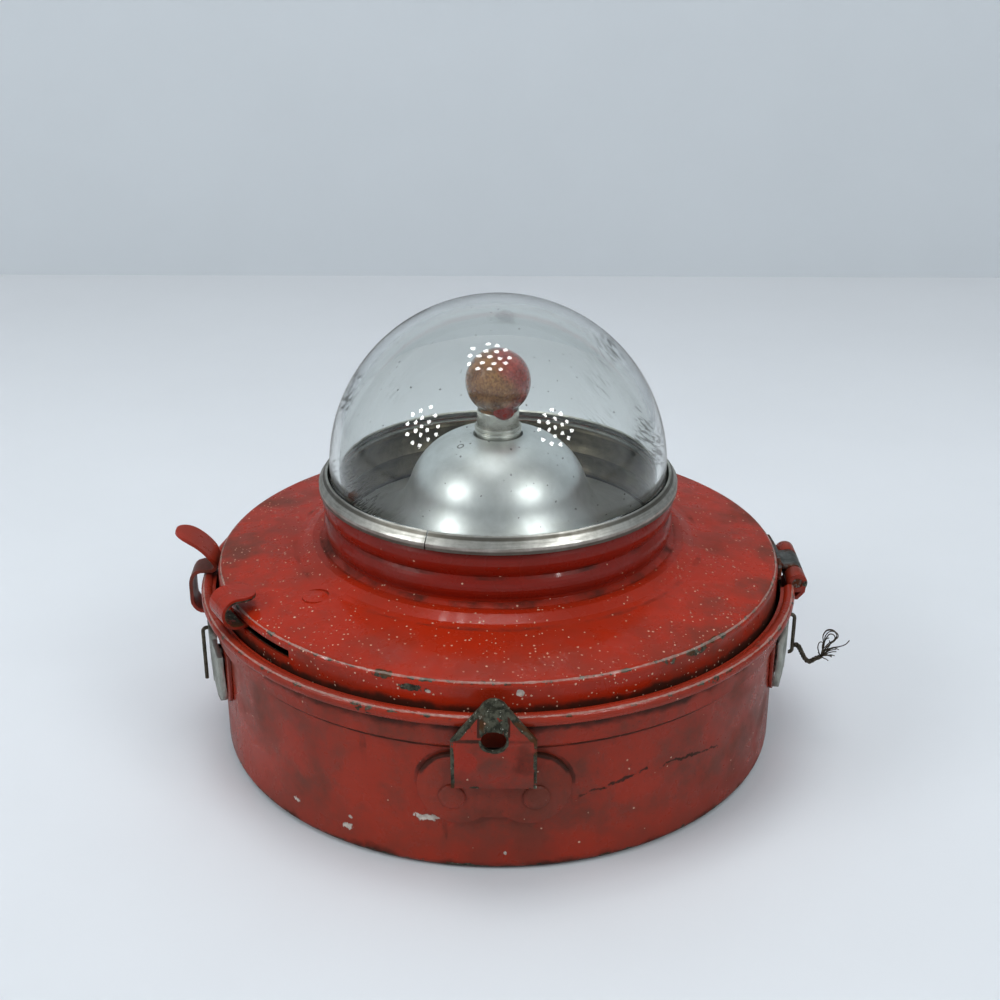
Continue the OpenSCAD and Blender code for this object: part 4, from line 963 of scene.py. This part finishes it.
def reflector_line(inset):
    """One side of the sheet, set in from the outer side by inset."""
    crown = arc(CROWN_X, CROWN_Z, CROWN_R - inset, 90 - START, 90 - FLARE, 24)
    flare = arc(FLARE_X, FLARE_Z, FLARE_R + inset, 270 - FLARE, 270, 28)[1:]
    top, rim = crown[0][1], REFLECTOR_RIM - inset
    hole = [(HOLE + inset, top - 1.0 + inset), (HOLE + inset, top - 0.35),
            (HOLE + 0.1 + inset, top - 0.1)]
    return hole + crown + flare + [(rim, FLARE_Z - FLARE_R - inset), (rim, REFLECTOR_FOOT)]


outer, inner = reflector_line(0.0), reflector_line(SHEET)
turned("spun_reflector", "reflector", bright_reflector,
       [outer, outer[-1:] + inner[-1:], inner, outer[:1] + inner[:1]])

# Lamp globe on its neck, closed at the neck's foot
GLOBE, GLOBE_R, NECK = 87.776, 7.7, 4.5
turned("lamp_globe", "bulb_glass", lacquer, [
    [(NECK - 0.5, 79.0), (NECK, 79.0), (NECK, 81.2)] + arc(0, GLOBE, GLOBE_R, -51.5, 90, 30),
    arc(0, GLOBE, GLOBE_R - 0.5, 90, -53, 24) + [(NECK - 0.5, 81.4), (NECK - 0.5, 79.0)]], steps=72)


DRIP_R, DRIP_AT = 2.1 * MM, Vector((1.35, -4.72, 81.6)) * MM


def lacquer_drip():
    """Thick run of red lacquer from the globe's foot over the front of the cap's edge."""
    form = bmesh.new()
    bmesh.ops.create_uvsphere(form, u_segments=28, v_segments=20, radius=DRIP_R)
    for vert in form.verts:
        low = max(0.0, -vert.co.z / DRIP_R)
        vert.co.x *= 1.15 - 0.45 * low ** 2
        vert.co.y *= 0.42
        vert.co.z *= 1.0 - 0.15 * low
        # The upper half leans out with the globe
        vert.co.y -= max(0.0, vert.co.z) * 0.42
        vert.co += DRIP_AT
    smooth(form)
    riding("lacquer_drip", meshed(form, "lacquer_drip", drip_lacquer), "bulb_glass")


lacquer_drip()


# ----------------------------------------------------------------- snap catch
CATCH_AZIMUTH = -87.118
KNUCKLE_X, KNUCKLE_Z, PIN_R = 70.0, 30.2, 0.9
NOSE_X, RIM_Z, BULGE_X = 68.7, 39.1, 75.0
TAB_R, TAB_W, STRAP_W, STRAP_T = 14.1, 9.0, 7.0, 0.9
TIP_W = 0.7
TAB_X, TAB_Z = NOSE_X + 0.5 + TAB_R * cos(radians(30)), RIM_Z + 5.2 - 0.5 * TAB_R
TAB_MIDDLE = 73.68


def catch_line():
    """Side view of the strap: knuckle, bulge round the rim, nose, and the tab's curl."""
    # Each place on the bulge is given by how far in it lies, and its height
    bulge = [(BULGE_X - inward, z) for inward, z in (
        (1.9, 30.7), (1.2, 31.1), (0.5, 31.9), (0.12, 32.7), (0.0, 33.6), (0.0, 35.6),
        (0.0, RIM_Z - 1.4), (0.1, RIM_Z - 0.4), (0.4, RIM_Z + 0.6), (0.9, RIM_Z + 1.4),
        (1.5, RIM_Z + 1.9), (2.6, RIM_Z + 2.25))]
    nose = arc(NOSE_X + 1.2, RIM_Z + 3.5, 1.2, -110, -200, 6)
    turns = [150 - 3 * k for k in range(10)]
    curl = [(TAB_X + TAB_R * cos(radians(a)), TAB_Z + TAB_R * sin(radians(a))) for a in turns]
    # Past the tab's widest place the steps follow its round tip
    for k in range(1, 13):
        x = TAB_MIDDLE + TAB_W / 2 * sin(radians(7 * k))
        if x > curl[-1][0] + 0.1:
            curl.append((x, TAB_Z + (TAB_R ** 2 - (x - TAB_X) ** 2) ** 0.5))
    return [(KNUCKLE_X, KNUCKLE_Z)] + bulge + [(NOSE_X + 1.6, RIM_Z + 2.25)] + nose + curl


def half_width(x, z):
    """Half the strap's width in plan: narrow strap, wider tab, round tip."""
    share = min(1.0, max(0.0, (z - 42.4) / 3.0))
    half = (STRAP_W + (TAB_W - STRAP_W) * share * share * (3 - 2 * share)) / 2
    if x > TAB_MIDDLE and z > 44:
        room = (TAB_W / 2) ** 2 - (x - TAB_MIDDLE) ** 2
        half = max(TIP_W / 2, max(0.0, room) ** 0.5)
    return half


def catch_strap():
    """The sprung strap, whole: its bulge runs on from the knuckle to the tab."""
    form = bmesh.new()
    # A sheet two units wide, drawn out in strips and then fitted to the strap's width
    line = [form.verts.new((x, -1.0, z)) for x, z in catch_line()]
    edges = [form.edges.new(pair) for pair in zip(line, line[1:])]
    strips = 8
    for _ in range(strips):
        grown = bmesh.ops.extrude_edge_only(form, edges=edges)["geom"]
        edges = [e for e in grown if isinstance(e, bmesh.types.BMEdge)
                 and abs(e.verts[0].co.y - e.verts[1].co.y) < 1e-6]
        bmesh.ops.translate(form, verts=[v for v in grown if isinstance(v, bmesh.types.BMVert)],
                            vec=(0, 2.0 / strips, 0))
    for vert in form.verts:
        vert.co.y *= half_width(vert.co.x, vert.co.z)
    # The sheet moves to the strap's outer side and is given its thickness
    bmesh.ops.recalc_face_normals(form, faces=form.faces)
    form.normal_update()
    lifts = {vert: vert.normal * STRAP_T / 2 for vert in form.verts}
    for vert, lift in lifts.items():
        vert.co += lift
    bmesh.ops.solidify(form, geom=form.faces[:], thickness=STRAP_T)
    pin = bmesh.ops.create_cone(form, cap_ends=True, segments=24, radius1=PIN_R, radius2=PIN_R,
                                depth=STRAP_W)["verts"]
    bmesh.ops.rotate(form, verts=pin, cent=(0, 0, 0), matrix=Matrix.Rotation(radians(90), 3, "X"))
    bmesh.ops.translate(form, verts=pin, vec=(KNUCKLE_X, 0, KNUCKLE_Z))
    bmesh.ops.recalc_face_normals(form, faces=form.faces)
    smooth(form)
    bmesh.ops.scale(form, verts=form.verts, vec=(MM, MM, MM))
    bmesh.ops.rotate(form, verts=form.verts, cent=(0, 0, 0),
                     matrix=Matrix.Rotation(radians(CATCH_AZIMUTH - 90), 3, "Z"))
    piece = riding("catch_strap", meshed(form, "catch_strap", enamel_catch), "snap_catch")
    ease_edges(piece, 0.22, 40)
    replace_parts(piece, "snap_catch")


catch_strap()


# ---------------------------------------------------------------- frayed rope
ROPE_AZIMUTH = 80.184
ROPE_FROM = Vector((73.1, 0.0, 25.2))
ROPE_LINE = [(0, 0, 0), (0.4, 0, 0), (1.0, 0, -0.4), (1.5, 0, -1.3), (2.0, 0, -2.3),
             (2.6, 0, -3.4), (3.3, 0, -4.15), (3.9, 0, -4.3), (4.5, 0, -3.9), (5.2, 0, -3.3),
             (6.0, 0, -2.9), (6.4, 0, -2.6)]
LAY, STRAND_OFF, WIRE_R = 2.3, 0.30, 0.10
# Loose wires from the rope's end: along, up, in millimetres
FRAYED = [
    [(0, 0), (0.3, 2.0), (0.35, 3.8), (0.2, 6.1), (1.4, 7.5), (3.2, 6.6), (3.0, 5.0), (1.6, 3.7),
     (0.6, 2.2)],
    [(0, 0), (0.5, 2.2), (0.6, 4.0), (0.8, 6.0), (2.1, 7.1), (3.7, 5.9), (2.4, 4.2), (1.0, 2.1)],
    [(0, 0), (0.4, 2.5), (0.9, 5.0), (1.9, 6.4), (2.9, 5.8), (2.4, 4.5), (1.4, 3.2)],
    [(0, 0), (-0.5, 1.2), (-0.85, 2.8), (-0.3, 3.9), (0.4, 3.6)],
    [(0, 0), (0.4, 1.2), (2.3, 2.4), (4.5, 3.2), (5.6, 3.8), (6.4, 4.9)],
    [(0, 0), (0.4, 0.9), (1.5, 1.9), (3.0, 2.4), (4.2, 2.1)],
    [(0, 0), (0.6, 0.5), (1.6, 1.2), (2.7, 1.7), (3.6, 1.8)],
    [(0, 0), (0.5, 0.3), (1.3, 0.5), (2.3, 0.9), (3.3, 0.8)],
    [(0, 0), (0.6, 0.1), (1.3, 0.3), (2.0, 0.2), (2.7, -0.1)],
    [(0, 0), (0.5, -0.1), (0.9, -0.3), (1.5, -0.5), (1.9, -0.8)],
    [(0, 0), (0.3, 1.5), (0.2, 3.2), (0.9, 4.8), (1.6, 5.2)],
    [(0, 0), (0.4, 0.6), (0.9, 1.3), (1.6, 2.4), (2.0, 3.4), (1.7, 4.4)],
    [(0, 0), (0.6, 0.8), (1.4, 1.5), (2.1, 2.3)],
    [(0, 0), (-0.3, 0.6), (-0.7, 0.9)]]


def frayed_rope():
    """Three twisted strands with their loose wires; the rigid remnant of a wire rope."""
    random.seed(21)
    turn = radians(ROPE_AZIMUTH)
    out, side = Vector((sin(turn), -cos(turn), 0)), Vector((cos(turn), sin(turn), 0))

    def place(p):
        local = Vector(p) + ROPE_FROM
        return (out * local.x + side * local.y + Vector((0, 0, local.z))) * MM

    data = bpy.data.curves.new("frayed_rope", "CURVE")
    data.dimensions = "3D"
    data.bevel_depth = WIRE_R * MM
    data.bevel_resolution = 2
    data.resolution_u = 5
    data.use_fill_caps = True

    def wire(points, thick, thin):
        spline = data.splines.new("BEZIER")
        spline.bezier_points.add(len(points) - 1)
        for k, (knot, p) in enumerate(zip(spline.bezier_points, points)):
            knot.co = place(p)
            knot.handle_left_type = knot.handle_right_type = "AUTO"
            knot.radius = thick + (thin - thick) * k / (len(points) - 1)

    # The strands turn round the rope's middle line
    middle = []
    for first, second in zip(ROPE_LINE, ROPE_LINE[1:]):
        a, b = Vector(first), Vector(second)
        middle += [a.lerp(b, k / 4) for k in range(4)]
    middle.append(Vector(ROPE_LINE[-1]))
    for strand in range(3):
        points, along = [], 0.0
        for k, p in enumerate(middle):
            ahead = (middle[min(k + 1, len(middle) - 1)] - middle[max(k - 1, 0)]).normalized()
            across = Vector((0, 1, 0))
            over = ahead.cross(across)
            along += 0.0 if k == 0 else (p - middle[k - 1]).length
            angle = 2 * pi * (strand / 3 + along / LAY)
            points.append(p + (across * cos(angle) + over * sin(angle)) * STRAND_OFF)
        wire(points, 3.2, 2.9)
    end = Vector(ROPE_LINE[-1])
    for path in FRAYED + FRAYED[::2]:
        sway, lean = random.uniform(-0.40, 0.40), random.uniform(-0.14, 0.14)
        wire([end + Vector((a, sway * min(1, k) + lean * k + random.uniform(-0.08, 0.08), u))
              for k, (a, u) in enumerate(path)], 1.5, 1.1)
    # Broken ends that stand off along the rope
    for k in (9, 17, 24, 31, 38):
        p = middle[k]
        tip = Vector((random.uniform(-0.3, 0.5), random.uniform(-0.5, 0.5),
                      random.uniform(0.25, 0.6)))
        wire([p, p + tip * 0.7 + Vector((0.1, 0, 0)), p + tip * 1.25], 1.1, 0.8)
    data.materials.append(rusty_wire)
    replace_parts(riding("frayed_rope", data, "wire_stub"), "wire_stub")


frayed_rope()


# Worn plates and leaves, with the width of their rounded edges in millimetres
for name, width in {"hasp_plate": 0.22, "hasp_base": 0.25, "ear_left": 0.3, "ear_right": 0.3,
                    "hinge_leaf_can": 0.15, "hinge_leaf_lid": 0.15, "catch_leg": 0.2,
                    "ear_leg": 0.2}.items():
    eased(name, width)


# ------------------------------------------------------------- camera, light
LENS, LENS_SHIFT = 52.7, 0.0019
CAMERA_AT, CAMERA_DOWN, CAMERA_TURN = (0.00398, -0.32608, 0.1967), 23.1, 0.7
camera_data = bpy.data.cameras.new("photo_view")
camera_data.lens = LENS
camera_data.sensor_width = 36.0
camera_data.shift_x = LENS_SHIFT
camera_data.clip_start = 0.01
camera = linked("photo_view", camera_data)
camera.location = CAMERA_AT
camera.rotation_euler = (radians(90 - CAMERA_DOWN), 0.0, radians(CAMERA_TURN))
bpy.context.scene.camera = camera

# The table's half width and far edge, and how far back and up the wall goes from there
TABLE_HALF, TABLE_EDGE = 2.5, 0.44
WALL_BACK, WALL_UP = 0.05, 2.2


def paper(name, colour, reflected, far=0.0):
    """Plain backdrop finish; far is how much painted shade darkens it towards the table's far edge.

    It is darker where a gloss reflects it, and its back is see-through.
    """
    made, w, shader = finish(name, Roughness=0.75, Specular_IOR_Level=0.15)
    tone = w.cloud(14.0, 3.0, 0.55, 0.3, 0.7)
    seen = w.mix(tone, colour, tuple(0.98 * c for c in colour))
    _, y, _ = w.axes()
    # Painted shade towards the table's far edge
    seen = w.mix(w.step(y, 0.05, TABLE_EDGE, 0.0, far), seen, tuple(0.5 * c for c in colour))
    # Rays that glass bends count as glossy too, so they are taken off
    path = w.node("ShaderNodeLightPath").outputs
    mirrored = w.minus(path["Is Glossy Ray"], path["Is Transmission Ray"], clamp=True)
    w.feed(shader.inputs["Base Color"], w.mix(mirrored, seen, reflected))
    clear_where(w, shader, w.node("ShaderNodeNewGeometry").outputs["Backfacing"])
    return made


def backdrop():
    """Table top and wall in one piece, joined along the table's far edge."""
    form = bmesh.new()
    corners = [form.verts.new((side * TABLE_HALF, y, 0)) for side, y in (
        (-1, -TABLE_HALF), (1, -TABLE_HALF), (1, TABLE_EDGE), (-1, TABLE_EDGE))]
    table = form.faces.new(corners)
    far = [e for e in table.edges if all(abs(v.co.y - TABLE_EDGE) < 1e-6 for v in e.verts)]
    grown = bmesh.ops.extrude_edge_only(form, edges=far)["geom"]
    bmesh.ops.translate(form, verts=[v for v in grown if isinstance(v, bmesh.types.BMVert)],
                        vec=(0, WALL_BACK, WALL_UP))
    form.faces.ensure_lookup_table()
    wall = form.faces[1]
    wall.material_index = 1
    form.normal_update()
    if wall.normal.y > 0:
        bmesh.ops.reverse_faces(form, faces=[wall])
    linked("backdrop", meshed(
        form, "backdrop",
        paper("table_paper", (0.73, 0.765, 0.80), (0.43, 0.44, 0.445), far=0.36),
        paper("wall_paper", (0.62, 0.66, 0.69), (0.27, 0.275, 0.28))))


backdrop()


def soft_lamp(name, at, aim, size, power, colour=(1, 1, 1), shape="SQUARE", reflected=True):
    """Area lamp aimed at a place; unseen through glass, and in a gloss unless reflected."""
    data = bpy.data.lights.new(name, "AREA")
    data.shape = shape
    data.size = size
    data.energy = power
    data.color = colour
    lamp = linked(name, data)
    lamp.location = at
    lamp.rotation_euler = (Vector(aim) - Vector(at)).to_track_quat("-Z", "Y").to_euler()
    lamp.visible_glossy = reflected
    lamp.visible_transmission = False


CENTRE = Vector((0.0, 0.0, 0.05))
soft_lamp("overhead", (0.1, -0.15, 1.3), CENTRE, 1.1, 4.35, reflected=False)
soft_lamp("left_window", (-1.2, -0.5, 0.8), CENTRE, 0.7, 2.1, (0.93, 0.97, 1.0), reflected=False)

# Three lamps, each a star of small discs, as the highlights show: turn and rise in degrees
random.seed(7)
REACH, DISC, DISC_POWER = 1.4, 0.062, 0.24
STAR_AIM = Vector((0, 0, 0.07))
for name, turn, rise in (("star_left", -62.0, 32.0), ("star_right", 48.0, 36.6),
                         ("star_top", -132.0, 84.0)):
    turn, rise = radians(turn), radians(rise)
    towards = Vector((cos(rise) * sin(turn), -cos(rise) * cos(turn), sin(rise)))
    middle = STAR_AIM + towards * REACH
    across = towards.cross(Vector((0, 0, 1))).normalized()
    upward = across.cross(towards)
    spots = [(0.0, 0.0)]
    for ring, (count, radius) in enumerate(((6, 0.13), (11, 0.26))):
        angles = [2 * pi * (k + 0.4 * ring) / count for k in range(count)]
        spots += [(radius * random.uniform(0.85, 1.15) * cos(a),
                   radius * random.uniform(0.85, 1.15) * sin(a)) for a in angles]
    for k, (a, b) in enumerate(spots):
        soft_lamp("%s_%02d" % (name, k), middle + across * a + upward * b, STAR_AIM, DISC,
                  DISC_POWER, shape="DISK")

world = bpy.data.worlds.new("room")
bpy.context.scene.world = world
world.use_nodes = True
sky = Wires(world.node_tree)
rise = sky.axes(sky.node("ShaderNodeTexCoord").outputs["Generated"])[2]
room = sky.mix(sky.step(rise, -0.1, 0.75), (0.50, 0.55, 0.60), (0.20, 0.215, 0.23))
air = sky.node("ShaderNodeBackground", {"Color": room, "Strength": 1.0})
sky.node("ShaderNodeOutputWorld", {"Surface": air.outputs[0]})
bpy.context.scene.view_settings.view_transform = "Standard"
